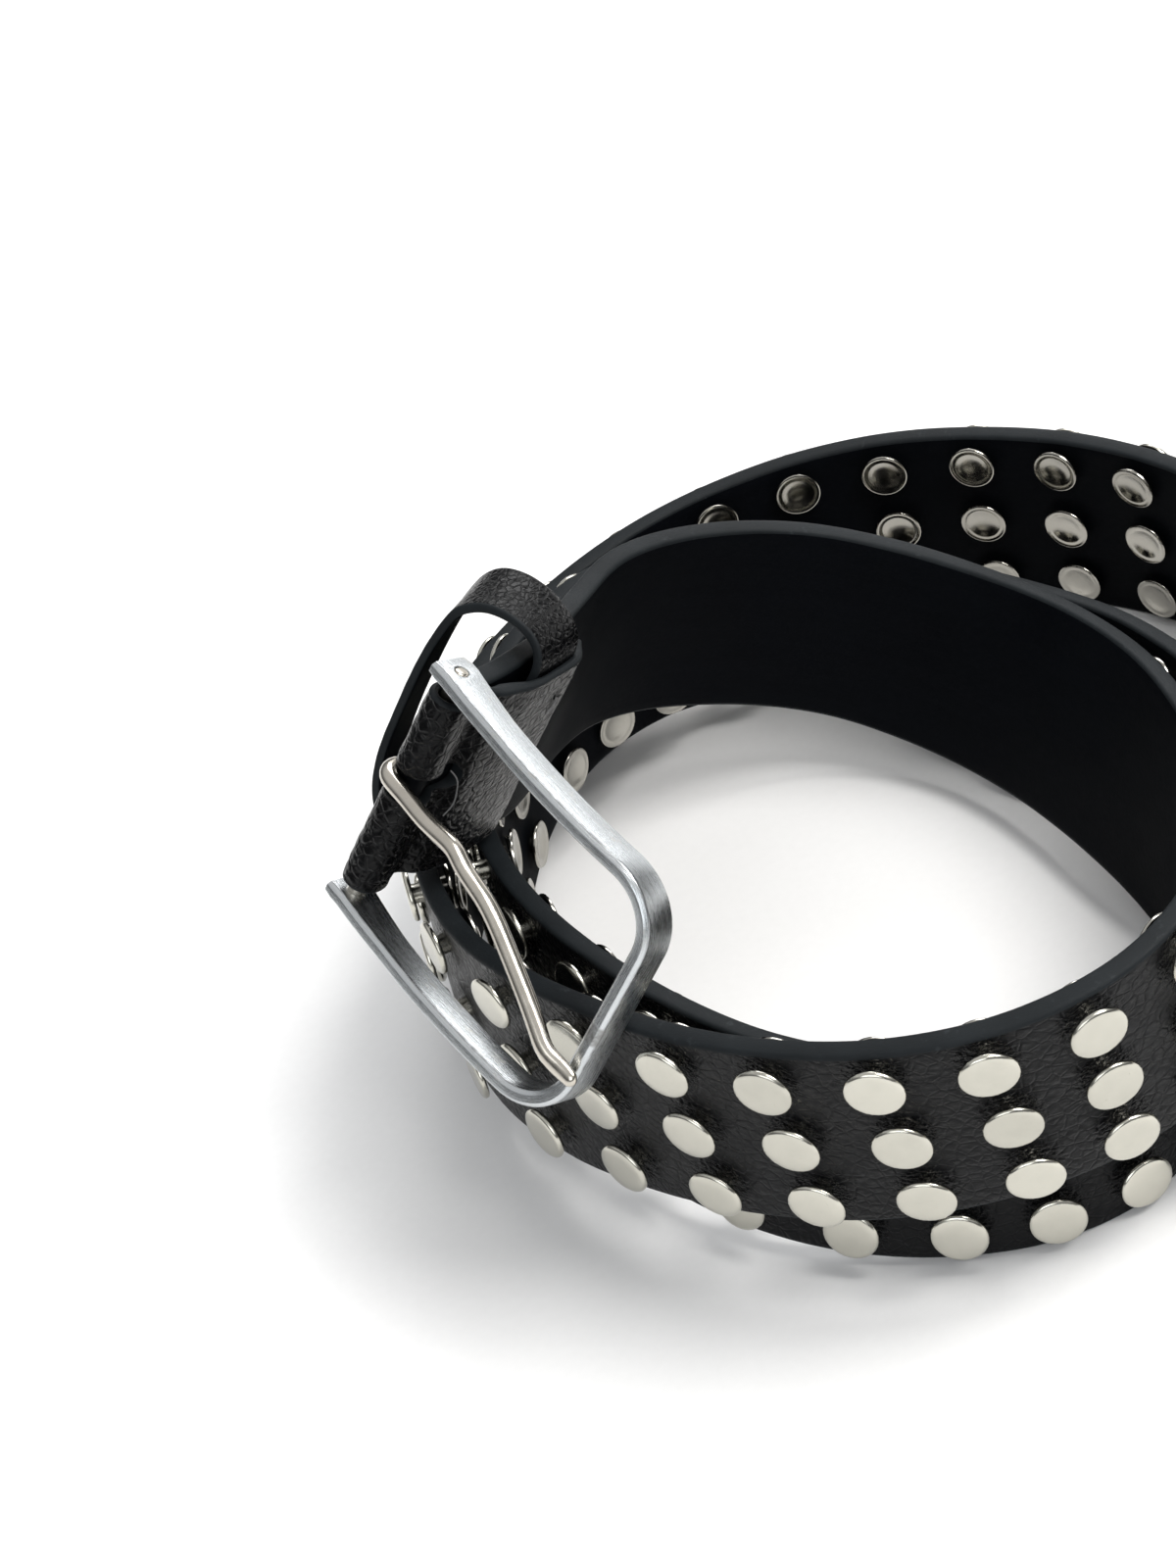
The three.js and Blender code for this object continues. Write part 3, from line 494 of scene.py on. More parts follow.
def section(half, thick):
    """Closed ring of (across, depth) with depth 0 on the grain side, and the kind of each span after a point."""
    r = min(EDGE_ROUND, thick * 0.42)
    pts = [(x, 0.0) for x in np.linspace(-(half - r), half - r, N_OUT)]
    kinds = [0] * (N_OUT - 1) + [2]
    for k in range(1, N_ARC + 1):
        a = math.pi / 2 * k / N_ARC
        pts.append((half - r + r * math.sin(a), -(r - r * math.cos(a))))
        kinds.append(2)
    for k in range(1, N_EDGE):
        pts.append((half + 0.08 * math.sin(math.pi * k / N_EDGE), -(r + (thick - 2 * r) * k / N_EDGE)))
        kinds.append(2)
    for k in range(0, N_ARC + 1):
        a = math.pi / 2 * k / N_ARC
        pts.append((half - r + r * math.cos(a), -(thick - r + r * math.sin(a))))
        kinds.append(2)
    kinds[-1] = 1
    pts += [(x, -thick) for x in np.linspace(half - r, -(half - r), N_IN)[1:]]
    kinds += [1] * (N_IN - 2) + [2]
    for k in range(1, N_ARC + 1):
        a = math.pi / 2 * k / N_ARC
        pts.append((-(half - r + r * math.sin(a)), -(thick - r + r * math.cos(a))))
        kinds.append(2)
    for k in range(1, N_EDGE):
        pts.append((-(half + 0.08 * math.sin(math.pi * k / N_EDGE)), -(thick - r - (thick - 2 * r) * k / N_EDGE)))
        kinds.append(2)
    for k in range(0, N_ARC):
        a = math.pi / 2 * k / N_ARC
        pts.append((-(half - r + r * math.cos(a)), -(r - r * math.sin(a))))
        kinds.append(2)
    return np.array(pts), kinds


# the folded end's grain side: along the strap from the bar, and height above the bar's plane; thickness there
FOLD = np.array([
    (36.0, -1.1, 0.85), (35.2, -1.4, 1.1), (33.8, -2.0, 1.3), (32.2, -2.95, 1.35), (30.4, -3.6, 1.3), (27.5, -3.8, 1.24), (23.0, -3.82, 1.24),
    (18.8, -3.8, 1.26), (16.4, -3.72, 1.7), (13.0, -3.4, 2.5), (10.6, -3.1, 2.7), (8.8, -2.35, 2.1), (7.4, -1.4, 1.2), (6.2, -1.15, 1.0), (5.0, -1.55, 1.2),
    (3.9, -2.35, 1.5), (2.6, -3.05, 1.5), (1.2, -3.27, 1.42), (0.0, -3.3, 1.42)])
fold_t = np.concatenate([[0], np.cumsum(np.linalg.norm(np.diff(FOLD[:, :2], axis=0), axis=1))])
fold_f = natural_spline(fold_t, FOLD)
prof = []                                  # x, h, thickness
for v in fold_f(np.linspace(0, fold_t[-1], 48)):
    prof.append(tuple(v))
for a in np.linspace(0, math.pi, 15)[1:]:
    prof.append((-CHAPE_PAD * math.sin(a), -CHAPE_PAD * math.cos(a), 1.4))
for x in np.linspace(0, 8.2, 8)[1:]:
    k = min(1.0, max(0.0, (x - 1.0) / 6.0))
    prof.append((x, CHAPE_PAD, 1.4 + (STRAP_THICK - 1.4) * k * k * (3 - 2 * k)))
prof = np.array(prof)
flat_x = prof[:, 0].copy()
plen = np.concatenate([[0], np.cumsum(np.linalg.norm(np.diff(prof[:, :2], axis=0), axis=1))])
fold_len = float(np.interp(0, np.arange(48), plen[:48])) + plen[47]
prof[:, 0], prof[:, 1] = bow(prof[:, 0], prof[:, 1])
pt = np.gradient(prof[:, :2], axis=0)
pt /= np.linalg.norm(pt, axis=1, keepdims=True)
pn = np.stack([-pt[:, 1], pt[:, 0]], axis=1)

ring_P, ring_N, ring_W, ring_T, ring_half, ring_thick, ring_u, ring_shift = [], [], [], [], [], [], [], []
for i in range(len(prof)):
    ring_P.append(BAR_MIDDLE + STRAP_DIR * prof[i, 0] + STRAP_OUT * prof[i, 1])
    ring_N.append(STRAP_DIR * pn[i, 0] + STRAP_OUT * pn[i, 1])
    ring_T.append(STRAP_DIR * pt[i, 0] + STRAP_OUT * pt[i, 1])
    ring_W.append(BAR_DIR)
    back = plen[-1] - plen[i]
    aside = max(0.0, 1 - plen[i] / fold_len)       # the folded end leans towards the bar's upper end and is trimmed narrower
    ring_half.append(STRAP_WIDTH / 2 - 0.12 - 0.9 * aside - 1.0 * max(0.0, 1 - plen[i] / 1.6) ** 2)
    ring_shift.append(0.9 * aside)
    ring_thick.append(prof[i, 2])
    ring_u.append(3.2 - back)

TAIL = np.array([(0, 0.6), (0.35, 4.2), (1.2, 7.4), (2.6, 10.2), (4.6, 12.8), (7.5, 15.2), (11.0, 17.1), (15.5, 18.5), (20.0, 19.0)])
main_s = np.concatenate([np.arange(4.6, STRAP_LENGTH - 20, 1.32), STRAP_LENGTH - np.array([19.2, 18, 16.6, 15.2, 13.8, 12.4, 11, 9.6, 8.4, 7.2, 6.1, 5.1, 4.2, 3.4, 2.7, 2.1, 1.6, 1.2, 0.85, 0.55, 0.3, 0.12, 0.0])])
mp, mt, ma, mo = place(main_s)
for i, s in enumerate(main_s):
    ring_P.append(mp[i] + mo[i] * STRAP_THICK / 2)
    ring_N.append(mo[i])
    ring_T.append(mt[i])
    ring_W.append(ma[i])
    d = STRAP_LENGTH - s
    ring_half.append(float(np.interp(d, TAIL[:, 0], TAIL[:, 1])) - 0.12)
    ring_thick.append(STRAP_THICK)
    ring_u.append(s)
    ring_shift.append(0.0)
ring_P, ring_N, ring_W, ring_T = map(np.array, (ring_P, ring_N, ring_W, ring_T))
ring_u = np.array(ring_u)

verts, sw, stud_at = [], [], []
kinds = None
face_kind = []
n_ring = len(ring_P)
for i in range(n_ring):
    half, thick, u = ring_half[i], ring_thick[i], ring_u[i]
    pts, kinds = section(half, thick)
    w, d = pts[:, 0].copy(), pts[:, 1].copy()
    # soft unevenness of the edges and faces
    w = w + 0.14 * smooth_noise(np.full(len(w), u * 0.11), np.sign(w) * 3.0, 5, 3) * np.abs(w) / 19.0
    outer = np.clip(1 + d / thick, 0, 1)
    lift = 0.07 * smooth_noise(np.full(len(w), u * 0.16), w * 0.22, 9, 3)
    # puckered dimples round the studs
    if u > 215:
        near = np.abs(stud_s - u) < 12
        if near.any():
            du = u - stud_s[near][None, :]
            dv = w[:, None] - stud_w[near][None, :]
            dist = np.hypot(du, dv)
            k = dist.argmin(axis=1)
            rows_i = np.arange(len(w))
            du1 = np.broadcast_to(du, dist.shape)[rows_i, k]
            dv1 = dv[rows_i, k]
            d1 = dist[rows_i, k]
            ident = np.nonzero(near)[0][k]
            a1 = np.arctan2(dv1, du1)
            dip = np.clip(1 - np.maximum(d1 - 2.6, 0) / 3.7, 0, 1)
            dip = dip * dip * (3 - 2 * dip)
            lift = lift - 0.34 * dip + 0.12 * dip * np.sin(a1 * 6 + ident * 1.7) * np.clip((d1 - 2.5) / 2, 0, 1)
            stud_at.append(np.stack([np.cos(a1), np.sin(a1), d1], axis=1))
        else:
            stud_at.append(np.tile([1.0, 0.0, 30.0], (len(w), 1)))
    else:
        stud_at.append(np.tile([1.0, 0.0, 30.0], (len(w), 1)))
    if u < 9 and u > -14:
        # small folds where the leather turns round the bar
        lift = lift + 0.10 * np.sin(w * 2.1 + 1.4 * np.sin(w * 0.7 + u * 0.3)) * np.clip(1 - abs(u + 3) / 10, 0, 1)
    if u < -9:
        # creases along the folded end's upper edge, and its swelling between them
        on = min(1.0, (-9 - u) / 3)
        lift = lift - on * (0.24 * np.exp(-((w - 16.6) / 0.35) ** 2) + 0.14 * np.exp(-((w - 14.9) / 0.45) ** 2) + 0.1 * np.exp(-((w + 17.0) / 0.5) ** 2))
        lift = lift + on * 0.16 * smooth_noise(np.full(len(w), u * 0.3), w * 0.3, 14, 3)
        # a short slit through the grain
        if i < 48:
            lift = lift - 0.5 * np.exp(-((flat_x[i] - 27.0 + (w - 11.0) * 0.17) / 0.6) ** 2) * np.clip(1 - np.abs((w - 11.0) / 3.6) ** 3, 0, 1)
    top = np.clip(1 + d / 0.9, 0, 1)
    bottom = np.clip(1 - (thick + d) / 0.9, 0, 1)
    d = d + lift * top - 0.6 * lift * bottom * (np.abs(lift) < 9)
    verts.append(ring_P[i] + (w + ring_shift[i])[:, None] * ring_W[i] + d[:, None] * ring_N[i])
    sw.append(np.stack([np.full(len(w), u), w, d], axis=1))
K = len(kinds)
V = np.vstack(verts)
V[:, 2] = np.maximum(V[:, 2], 0.02)
SW = np.vstack(sw)
ST = np.vstack(stud_at)
faces = loft_faces(n_ring, K, False)
fm = []
for i in range(n_ring - 1):
    fm += [3 if q == 0 and ring_u[i] < -7 else q for q in kinds]
fm += [2, 2]
strap = make_mesh("strap_leather", V, faces, [M_OUTER, M_INNER, M_EDGE, M_FOLD], fm, True, None, {"sw": SW, "stud": ST})
outward(strap)


def oriented(x, y, z, at):
    m = Matrix.Identity(4)
    for c, v in enumerate((x, y, z)):
        for r in range(3):
            m[r][c] = float(v[r])
    for r in range(3):
        m[r][3] = float(at[r]) * MM
    return m


def prism(name, outline, depth, matrix):
    """A closed prism of an outline in its x and y, over depth in z, in millimetres, both ways from the middle."""
    n = len(outline)
    v = [(x, y, -depth / 2) for x, y in outline] + [(x, y, depth / 2) for x, y in outline]
    f = [tuple(range(n - 1, -1, -1)), tuple(range(n, 2 * n))] + [(i, (i + 1) % n, n + (i + 1) % n, n + i) for i in range(n)]
    ob = make_mesh(name, v, f, [M_EDGE], None, False)
    ob.data.transform(matrix)
    return ob


# the slot for the prong, through both layers, and the punched holes
slot = [(-6.0, -SLOT_HALF), (SLOT_REACH - SLOT_HALF, -SLOT_HALF)]
slot += [(SLOT_REACH - SLOT_HALF + SLOT_HALF * math.sin(a), -SLOT_HALF * math.cos(a)) for a in np.linspace(0, math.pi, 10)[1:-1]]
slot += [(SLOT_REACH - SLOT_HALF, SLOT_HALF), (-6.0, SLOT_HALF)]
slot = [(x, y + SLOT_MIDDLE) for x, y in slot]
cut(strap, prism("slot_cut", slot, 22, oriented(STRAP_DIR, BAR_DIR, np.cross(STRAP_DIR, BAR_DIR), BAR_MIDDLE)))
for i in range(HOLE_COUNT):
    p, t, a, o = (x[0] for x in place(STRAP_LENGTH - LAST_HOLE_TO_TIP - i * HOLE_PITCH))
    ring = [(HOLE_R * math.cos(q), HOLE_R * math.sin(q)) for q in np.linspace(0, 2 * math.pi, 25)[:-1]]
    cut(strap, prism("hole_cut", ring, 12, oriented(t, a, np.cross(t, a), p)))
strap.data.set_sharp_from_angle(angle=math.radians(50))
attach(strap, "belt")
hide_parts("strap")


# ------------------------------------------------------------------ studs
def turned(profile, sides, spin=0.0):
    """Rings of a round body about z from (radius, height) points; the first and last lie on the axis."""
    v = [(0.0, 0.0, profile[0][1])]
    for r, z in profile[1:-1]:
        for k in range(sides):
            a = spin + 2 * math.pi * k / sides
            v.append((r * math.cos(a), r * math.sin(a), z))
    v.append((0.0, 0.0, profile[-1][1]))
    f = []
    m = len(profile) - 2
    for k in range(sides):
        f.append((0, 1 + k, 1 + (k + 1) % sides))
    for i in range(m - 1):
        for k in range(sides):
            a, b = 1 + i * sides + k, 1 + i * sides + (k + 1) % sides
            f.append((a, a + sides, b + sides, b))
    last = len(v) - 1
    o = 1 + (m - 1) * sides
    for k in range(sides):
        f.append((last, o + (k + 1) % sides, o + k))
    return np.array(v), f


CAP_OUT = [(0, 2.62), (2.6, 2.60), (3.75, 2.55), (4.12, 2.47), (4.36, 2.32), (4.5, 2.10), (4.52, 1.85), (4.46, 1.62), (4.25, 1.50), (3.4, 1.46), (1.72, 1.46), (1.66, 0.9), (1.7, -0.6), (0, -0.6)]
CAP_IN = [(0, 1.02), (0.9, 1.05), (1.7, 1.14), (2.4, 1.30), (2.9, 1.50), (3.2, 1.56), (3.45, 1.50), (3.7, 1.56), (3.95, 1.64), (4.14, 1.56), (4.24, 1.36), (4.22, 1.10), (4.02, 0.92), (3.3, 0.86), (1.72, 0.86), (1.7, -0.6), (0, -0.6)]


def stud_set(name, profile, sides, side, mat, extra):
    vs, fs, tint = [], [], []
    base = 0
    p, t, a, o = place(stud_s)
    r = np.random.default_rng(31 if side > 0 else 37)
    for i in range(len(stud_s)):
        v, f = turned(profile, sides, r.uniform(0, 1))
        n = o[i] * side + t[i] * r.normal(0, 0.016) + a[i] * r.normal(0, 0.016)
        n = unit(n)
        x = square(t[i], n)
        y = np.cross(n, x)
        at = p[i] + a[i] * stud_w[i] + o[i] * side * (STRAP_THICK / 2) + o[i] * side * r.normal(0, 0.05)
        vs.append(at + v[:, 0:1] * x + v[:, 1:2] * y + v[:, 2:3] * n)
        fs += [tuple(base + q for q in face) for face in f]
        tint.append(np.tile([r.uniform(0, 1), r.uniform(0, 9), r.uniform(0, 9)], (len(v), 1)))
        base += len(v)
    V = np.vstack(vs)
    V[:, 2] = np.maximum(V[:, 2], 0.02)
    ob = make_mesh(name, V, fs, [mat], None, True, 38, {"tint": np.vstack(tint)})
    outward(ob)
    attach(ob, "belt")
    if extra:
        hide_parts(*extra)
    return ob


stud_nodes = sorted(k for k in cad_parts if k.startswith("stud_"))
stud_set("studs_outer", CAP_OUT, 28, 1, M_CAP, stud_nodes)
stud_set("studs_inner", CAP_IN, 28, -1, M_CAP_IN, stud_nodes)


# ------------------------------------------------------------------ keeper loop
BACK = CHAPE_PAD - STRAP_THICK - 0.15 - GAP - KEEPER_THICK
# across and out on the edge nearer to the bar, then the same on the far edge
KEEPER = np.array([
    (24.9, 3.2, 25.6, 3.6), (24.7, 6.9, 26.3, 7.2), (23.8, 9.9, 26.1, 10.6), (22.4, 12.2, 25.1, 13.5), (19.8, 14.6, 22.8, 16.0),
    (15.5, 15.9, 18.2, 17.6), (9.5, 16.7, 11.0, 18.4), (0.5, 16.8, 1.0, 18.6), (-8.0, 16.5, -8.0, 18.2), (-15.0, 15.2, -15.2, 16.8),
    (-19.4, 12.8, -19.8, 14.0), (-21.8, 9.6, -22.2, 10.4), (-23.0, 6.0, -23.2, 6.4), (-22.9, 2.4, -23.0, 2.6), (-22.4, -0.4, -22.4, -0.3),
    (-20.6, BACK, -20.6, BACK), (-14, BACK, -14, BACK), (-7, BACK, -7, BACK), (0, BACK, 0, BACK), (7, BACK, 7, BACK), (14, BACK, 14, BACK),
    (20.6, BACK, 20.8, BACK), (23.6, -0.2, 23.9, 0.0)])


def closed_curve(points, n):
    """n points of a closed centripetal curve through the given ones."""
    m = len(points)
    ext = np.vstack([points[-4:], points, points[:4]])
    t = np.concatenate([[0], np.cumsum(np.linalg.norm(np.diff(ext, axis=0), axis=1) ** 0.8)])
    f = natural_spline(t, ext)
    return f(np.linspace(t[4], t[4 + m], n, endpoint=False))


kc = closed_curve(KEEPER, 150)


def inward(c):
    """Unit directions to the inside of a closed outline."""
    t = np.roll(c, -1, axis=0) - np.roll(c, 1, axis=0)
    t /= np.linalg.norm(t, axis=1, keepdims=True)
    q = np.stack([-t[:, 1], t[:, 0]], axis=1)
    return -q if ((c.mean(axis=0) - c) * q).sum() < 0 else q


kin_near, kin_far = inward(kc[:, :2]), inward(kc[:, 2:])
karc = np.concatenate([[0], np.cumsum(np.linalg.norm(np.diff(kc, axis=0), axis=1))])
KV, KS, kk = [], [], None
NX = 13
for i in range(len(kc)):
    pts = []
    kinds_k = []
    r = 0.42
    half = KEEPER_WIDTH / 2
    xs = np.linspace(-(half - r), half - r, NX)
    for x in xs:
        pts.append((x, 0.06 * math.cos(x / half * math.pi / 2)))
        kinds_k.append(0)
    kinds_k[-1] = 0
    for a in (35, 65, 90):
        q = math.radians(a)
        pts.append((half - r + r * math.sin(q), -(r - r * math.cos(q))))
        kinds_k.append(1)
    for a in (0, 30, 60):
        q = math.radians(a)
        pts.append((half - r + r * math.cos(q), -(KEEPER_THICK - r + r * math.sin(q))))
        kinds_k.append(1)
    for x in xs[::-1]:
        pts.append((x, -KEEPER_THICK))
        kinds_k.append(2)
    kinds_k[-1] = 2
    for a in (35, 65, 90):
        q = math.radians(a)
        pts.append((-(half - r + r * math.sin(q)), -(KEEPER_THICK - r + r * math.cos(q))))
        kinds_k.append(1)
    for a in (0, 30, 60):
        q = math.radians(a)
        pts.append((-(half - r + r * math.cos(q)), -(r - r * math.sin(q))))
        kinds_k.append(1)
    pts = np.array(pts)
    kk = kinds_k
    u = karc[i]
    wob = 0.10 * smooth_noise(np.full(len(pts), u * 0.2), pts[:, 0] * 0.3, 21, 3)
    d = pts[:, 1] + wob * np.clip(1 + pts[:, 1] / 0.8, 0, 1)
    x = pts[:, 0] + 0.12 * smooth_noise(np.full(len(pts), u * 0.13), np.sign(pts[:, 0]) * 2, 23, 2)
    k = np.clip((x + half) / KEEPER_WIDTH, 0, 1)[:, None]
    wh = kc[i, :2] * (1 - k) + kc[i, 2:] * k - d[:, None] * (kin_near[i] * (1 - k) + kin_far[i] * k)
    KV.append(on_chape(KEEPER_FROM + half + x, wh[:, 0], wh[:, 1]))
    KS.append(np.stack([np.full(len(pts), u), pts[:, 0], pts[:, 1]], axis=1))
kf = loft_faces(len(kc), len(kk), True)
keeper = make_mesh("keeper_band", np.vstack(KV), kf, [M_KEEPER, M_EDGE, M_INNER], [{0: 0, 1: 1, 2: 2}[q] for q in kk] * len(kc), True, 50,
                   {"sw": np.vstack(KS)})
outward(keeper)
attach(keeper, "belt")
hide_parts("keeper_loop")


# ------------------------------------------------------------------ buckle frame
def frame_at(x, y, z):
    return BAR_MIDDLE + FRAME_DIR * x + BAR_DIR * y + FRAME_FRONT * z


def frame_half(x):
    return (FRAME_WIDTH_BAR + (FRAME_WIDTH_END - FRAME_WIDTH_BAR) * x / FRAME_LENGTH) / 2


straight = FRAME_LENGTH - FRAME_CORNER_R
up_line = [(x, frame_half(x)) for x in np.linspace(-FRAME_TAIL, straight, 28)]
up_line += [(straight + FRAME_CORNER_R * math.cos(a), frame_half(straight) - FRAME_CORNER_R + FRAME_CORNER_R * math.sin(a)) for a in np.linspace(math.pi / 2, 0, 17)[1:]]
end_y = up_line[-1][1]
across_line = [(FRAME_LENGTH, y) for y in np.linspace(end_y, -end_y, 18)[1:-1]]
fline = np.array(up_line + across_line + [(x, -y) for x, y in reversed(up_line)])


def frame_section():
    w, h, c, e = FRAME_STRIP / 2, FRAME_DEPTH / 2, 0.62, 0.16
    corners = [(-w, -h, e), (w, -h, e), (w, h - c, 0.1), (w - c, h, 0.1), (-w + c, h, 0.1), (-w, h - c, 0.1)]
    pts = []
    n = len(corners)
    for i in range(n):
        p = np.array(corners[i][:2])
        a = np.array(corners[i - 1][:2])
        b = np.array(corners[(i + 1) % n][:2])
        r = corners[i][2]
        pa, pb = p + unit(a - p) * r * 1.3, p + unit(b - p) * r * 1.3
        for q in (0.0, 0.33, 0.67, 1.0):
            pts.append((1 - q) ** 2 * pa + 2 * q * (1 - q) * p + q * q * pb)
    return np.array(pts)


fsec = frame_section()
FV, FA = [], []
ft = np.gradient(fline, axis=0)
ft /= np.linalg.norm(ft, axis=1, keepdims=True)
flen = np.concatenate([[0], np.cumsum(np.linalg.norm(np.diff(fline, axis=0), axis=1))])
for i, (x, y) in enumerate(fline):
    o2 = np.array([-ft[i, 1], ft[i, 0]])
    xa = min(max(x, 0.0), FRAME_LENGTH)
    z0 = FRAME_ARCH * (1 - ((xa - FRAME_LENGTH / 2) / (FRAME_LENGTH / 2)) ** 2)
    shrink = 1.0
    ear = 1 + 0.25 * max(0.0, min(1.0, 1 - x / 12))
    if i in (0, len(fline) - 1):
        shrink = 0.84
    ring = []
    for u, v in fsec:
        ring.append(frame_at(x + o2[0] * u * shrink, y + o2[1] * u * shrink, v * ear * (1 if shrink == 1 else 0.93) + z0))
    FV.append(ring)
    FA.append([(flen[i], u, v) for u, v in fsec])
FV = np.array(FV).reshape(-1, 3)
ff = loft_faces(len(fline), len(fsec), False)
buckle = make_mesh("buckle_u", FV, ff, [M_STEEL], None, True, 24, {"along": np.array(FA).reshape(-1, 3)})
outward(buckle)
for side in (-1, 1):
    ring = [(1.34 * math.cos(q), 1.34 * math.sin(q)) for q in np.linspace(0, 2 * math.pi, 29)[:-1]]
    cut(buckle, prism("socket_cut", ring, 1.0, oriented(FRAME_DIR, np.cross(BAR_DIR, FRAME_DIR), BAR_DIR, BAR_MIDDLE + BAR_DIR * side * 23.45)))
buckle.data.set_sharp_from_angle(angle=math.radians(24))
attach(buckle, "buckle")

# the bar, with a small peened head in each arm's outer face
bar_half = 23.3
bar_prof = [(0, -bar_half - 0.15), (0.6, -bar_half - 0.14), (0.95, -bar_half - 0.07), (1.12, -bar_half + 0.1), (1.16, -bar_half + 0.5), (1.58, -bar_half + 2.7)]
bar_prof += [(1.6, z) for z in np.linspace(-20.3, 20.3, 22)]
bar_prof += [(r, -z) for r, z in reversed(bar_prof[1:6])] + [(0, bar_half + 0.15)]
bv, bf = turned(bar_prof, 20)
BV = BAR_MIDDLE + bv[:, 0:1] * FRAME_DIR + bv[:, 1:2] * FRAME_FRONT + bv[:, 2:3] * BAR_DIR
bar = make_mesh("buckle_bar", BV, bf, [M_WIRE], None, True, 40, {"tint": np.tile([0.5, 2.0, 3.0], (len(BV), 1))})
outward(bar)
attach(bar, "buckle")
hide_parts("buckle_frame")

# ------------------------------------------------------------------ prong
LOOP_R = BAR_R + 0.35 + PRONG_R
PRONG = np.array([
    (3.5, 2.2, 3.8, 1, 1), (9.1, 2.3, 4.3, 1, 1), (13.5, 2.8, 4.5, 1, 1), (16.4, 2.8, 4.5, 1, 1), (18.6, 2.0, 4.5, 1, 1), (24.7, 0.6, 4.4, 1, 1),
    (32.4, -2.5, 4.4, 1, 1), (38.6, -5.5, 4.5, 1, 1), (44.2, -8.5, 4.7, 1.05, 0.95), (47.0, -9.9, 4.75, 1.1, 0.85), (50.2, -10.4, 4.3, 1.15, 0.7),
    (53.6, -10.5, 4.1, 0.8, 0.55)])
pl = [(-LOOP_R * math.sin(a), SLOT_MIDDLE, LOOP_R * math.cos(a), 1, 1) for a in np.radians(180 * (1 - np.arange(0, 9) / 8.0))]
pl = np.array(pl + [tuple(r) for r in PRONG])
ptt = np.concatenate([[0], np.cumsum(np.linalg.norm(np.diff(pl[:, :3], axis=0), axis=1))])
pf = natural_spline(ptt, pl)
pu = np.concatenate([[0.0, 0.12, 0.4], np.linspace(0.9, ptt[-1] - 1.2, 100), ptt[-1] - np.array([0.9, 0.6, 0.35, 0.15, 0.04, 0.0])])
pv = pf(pu)
PC = np.array([frame_at(*q) for q in pv[:, :3]])
PT = np.gradient(PC, axis=0)
PT /= np.linalg.norm(PT, axis=1, keepdims=True)
WV = []
for i in range(len(PC)):
    side = square(BAR_DIR, PT[i])
    upv = np.cross(PT[i], side)
    end = min(1.0, math.sqrt(max(0.0, (ptt[-1] - pu[i]) / 1.1 * (2 - min(1.0, (ptt[-1] - pu[i]) / 1.1))) + 0.01)) if ptt[-1] - pu[i] < 1.1 else 1.0
    start = min(1.0, 0.62 + pu[i] * 0.9)
    k = end * start
    for q in np.linspace(0, 2 * math.pi, 19)[:-1]:
        WV.append(PC[i] + side * PRONG_R * pv[i, 3] * k * math.cos(q) + upv * PRONG_R * pv[i, 4] * k * math.sin(q))
prong = make_mesh("prong_wire", np.array(WV), loft_faces(len(PC), 18, False), [M_WIRE], None, True, 50, {"tint": np.tile([0.4, 1.0, 5.0], (len(WV), 1))})
outward(prong)
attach(prong, "tongue")
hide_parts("prong")

# ------------------------------------------------------------------ loose threads at the slot and on the folded end
def thread(name, points, radius, mat):
    points = np.array(points)
    t = np.concatenate([[0], np.cumsum(np.linalg.norm(np.diff(points, axis=0), axis=1))])
    c = natural_spline(t, points)(np.linspace(0, t[-1], 24))
    tan = np.gradient(c, axis=0)
    tan /= np.linalg.norm(tan, axis=1, keepdims=True)
    v = []
    for q, d in zip(c, tan):
        x = square([0.3, 0.2, 0.9], d)
        y = np.cross(d, x)
        v += [q + radius * (x * math.cos(a) + y * math.sin(a)) for a in np.linspace(0, 2 * math.pi, 9)[:-1]]
    return np.array(v), loft_faces(len(c), 8, False)


n = Nodes("thread")
M_THREAD = n.set(color=n.mix(n.noise(n.scale(n.coords(), 1000.0), 3.0), (0.06, 0.06, 0.062), (0.24, 0.24, 0.24)), rough=0.6, spec=0.2)
TV, TF, base = [], [], 0
for pts_t, rad in (
        ([on_chape(5.6, 4.4, -2.6), on_chape(7.6, 2.4, -3.2), on_chape(8.8, -0.6, -3.5), on_chape(9.4, -3.4, -3.4), on_chape(8.8, -5.4, -3.1)], 0.12),
        ([on_chape(26.5, 9.2, -3.75), on_chape(27.2, 10.8, -3.95), on_chape(27.5, 12.2, -3.75)], 0.24)):
    v, f = thread("thread", pts_t, rad, M_THREAD)
    TV.append(v)
    TF += [tuple(base + q for q in face) for face in f]
    base += len(v)
threads = make_mesh("loose_threads", np.vstack(TV), TF, [M_THREAD])
outward(threads)
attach(threads, "belt")

# ------------------------------------------------------------------ floor, light and camera
n = Nodes("floor_paper")
grain = n.noise(n.scale(n.coords(), 1000.0), 0.6, 4.0, 0.6)
n.set(color=n.mix(grain, (0.80, 0.80, 0.80), (0.84, 0.84, 0.84)), rough=0.75, spec=0.2, normal=n.bump(grain, 0.05, 0.0001))
me = bpy.data.meshes.new("floor")
S = 3.0
me.from_pydata([(-S, -S, 0), (S, -S, 0), (S, S, 0), (-S, S, 0)], [], [(0, 1, 2, 3)])
me.materials.append(n.mat)
floor = bpy.data.objects.new("floor", me)
bpy.context.scene.collection.objects.link(floor)

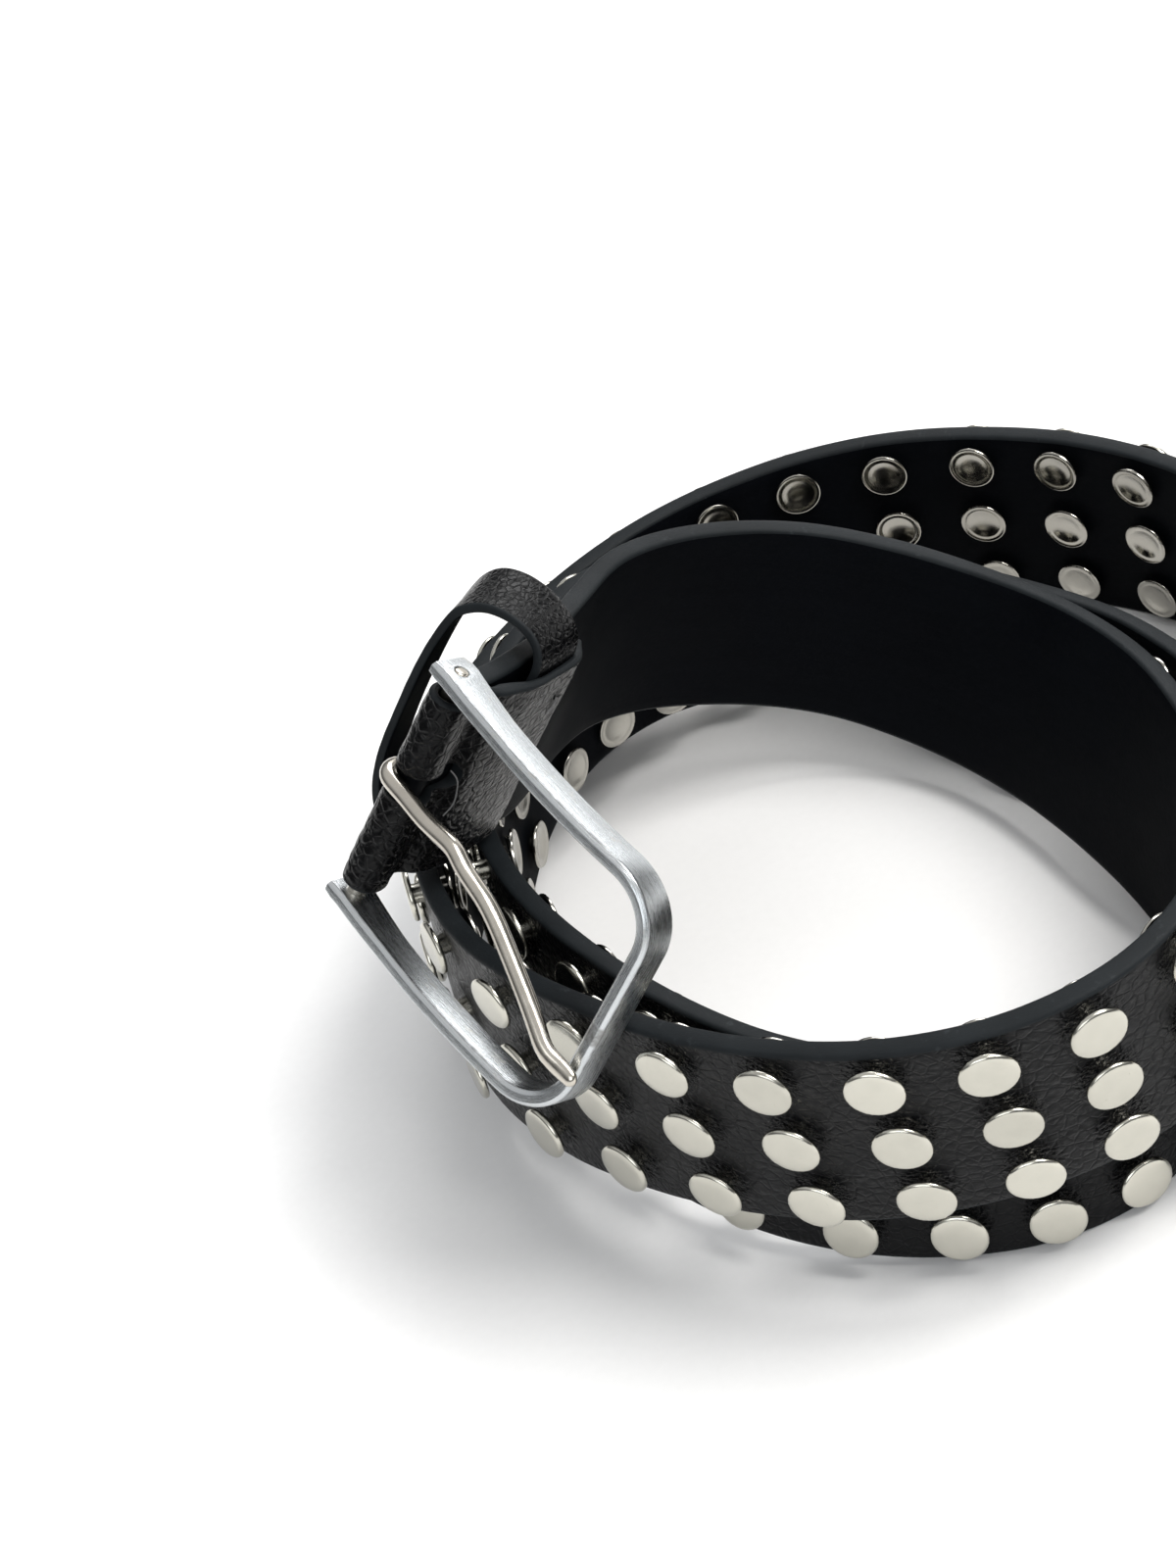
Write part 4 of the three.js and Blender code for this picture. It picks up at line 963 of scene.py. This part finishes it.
world = bpy.data.worlds.new("studio")
bpy.context.scene.world = world
world.use_nodes = True
wt = world.node_tree
bg = wt.nodes["Background"]
tc = wt.nodes.new("ShaderNodeTexCoord")
sep = wt.nodes.new("ShaderNodeSeparateXYZ")
ramp = wt.nodes.new("ShaderNodeValToRGB")
wt.links.new(tc.outputs["Generated"], sep.inputs[0])
wt.links.new(sep.outputs[2], ramp.inputs[0])
wt.links.new(ramp.outputs[0], bg.inputs[0])
stops = ramp.color_ramp.elements
stops[0].position, stops[0].color = 0.0, (0.10, 0.105, 0.11, 1)
stops[1].position, stops[1].color = 1.0, (1.0, 1.0, 1.0, 1)
for pos, v in ((0.12, 0.12), (0.38, 0.45), (0.62, 0.95)):
    q = stops.new(pos)
    q.color = (v, v * 1.01, v * 1.03, 1)
bg.inputs[1].default_value = 0.70


def area(name, at, target, size, power, color=(1, 1, 1)):
    d = bpy.data.lights.new(name, "AREA")
    d.shape = "RECTANGLE"
    d.size, d.size_y = size
    d.energy = power
    d.color = color
    ob = bpy.data.objects.new(name, d)
    ob.location = at
    ob.rotation_euler = (Vector(target) - Vector(at)).to_track_quat("-Z", "Y").to_euler()
    bpy.context.scene.collection.objects.link(ob)


area("key", (0.55, -0.25, 0.95), (0, 0, 0.03), (0.55, 0.55), 14.3, (1.0, 0.985, 0.96))
area("back", (0.5, 0.85, 0.75), (0, 0, 0.03), (0.8, 0.5), 7.0)
area("front", (-0.5, -0.9, 0.55), (0, 0, 0.05), (0.8, 0.6), 3.6, (0.95, 0.98, 1.0))

area("low", (0.75, 0.85, 0.30), (-0.05, 0, 0.07), (0.9, 0.5), 1.15)

cam = bpy.data.cameras.new("camera")
cam.sensor_fit = "AUTO"
cam.sensor_width = 36.0
cam.lens = 76.77
cam.clip_start = 0.01
cam.clip_end = 20
camera = bpy.data.objects.new("camera", cam)
e, roll = math.radians(39.61), math.radians(-20.63)
look = np.array([0, math.cos(e), -math.sin(e)])
right = np.array([1.0, 0, 0])
upv = np.array([0, math.sin(e), math.cos(e)])
r2 = math.cos(roll) * right + math.sin(roll) * upv
u2 = -math.sin(roll) * right + math.cos(roll) * upv
at = np.array([COIL_CENTRE[0] - 40.0, COIL_CENTRE[1] + 62.0 - 477.1, 394.8])
camera.matrix_world = oriented(r2, u2, -look, at)
bpy.context.scene.collection.objects.link(camera)
bpy.context.scene.camera = camera
bpy.context.scene.view_settings.view_transform = "Standard"

bpy.context.view_layer.update()
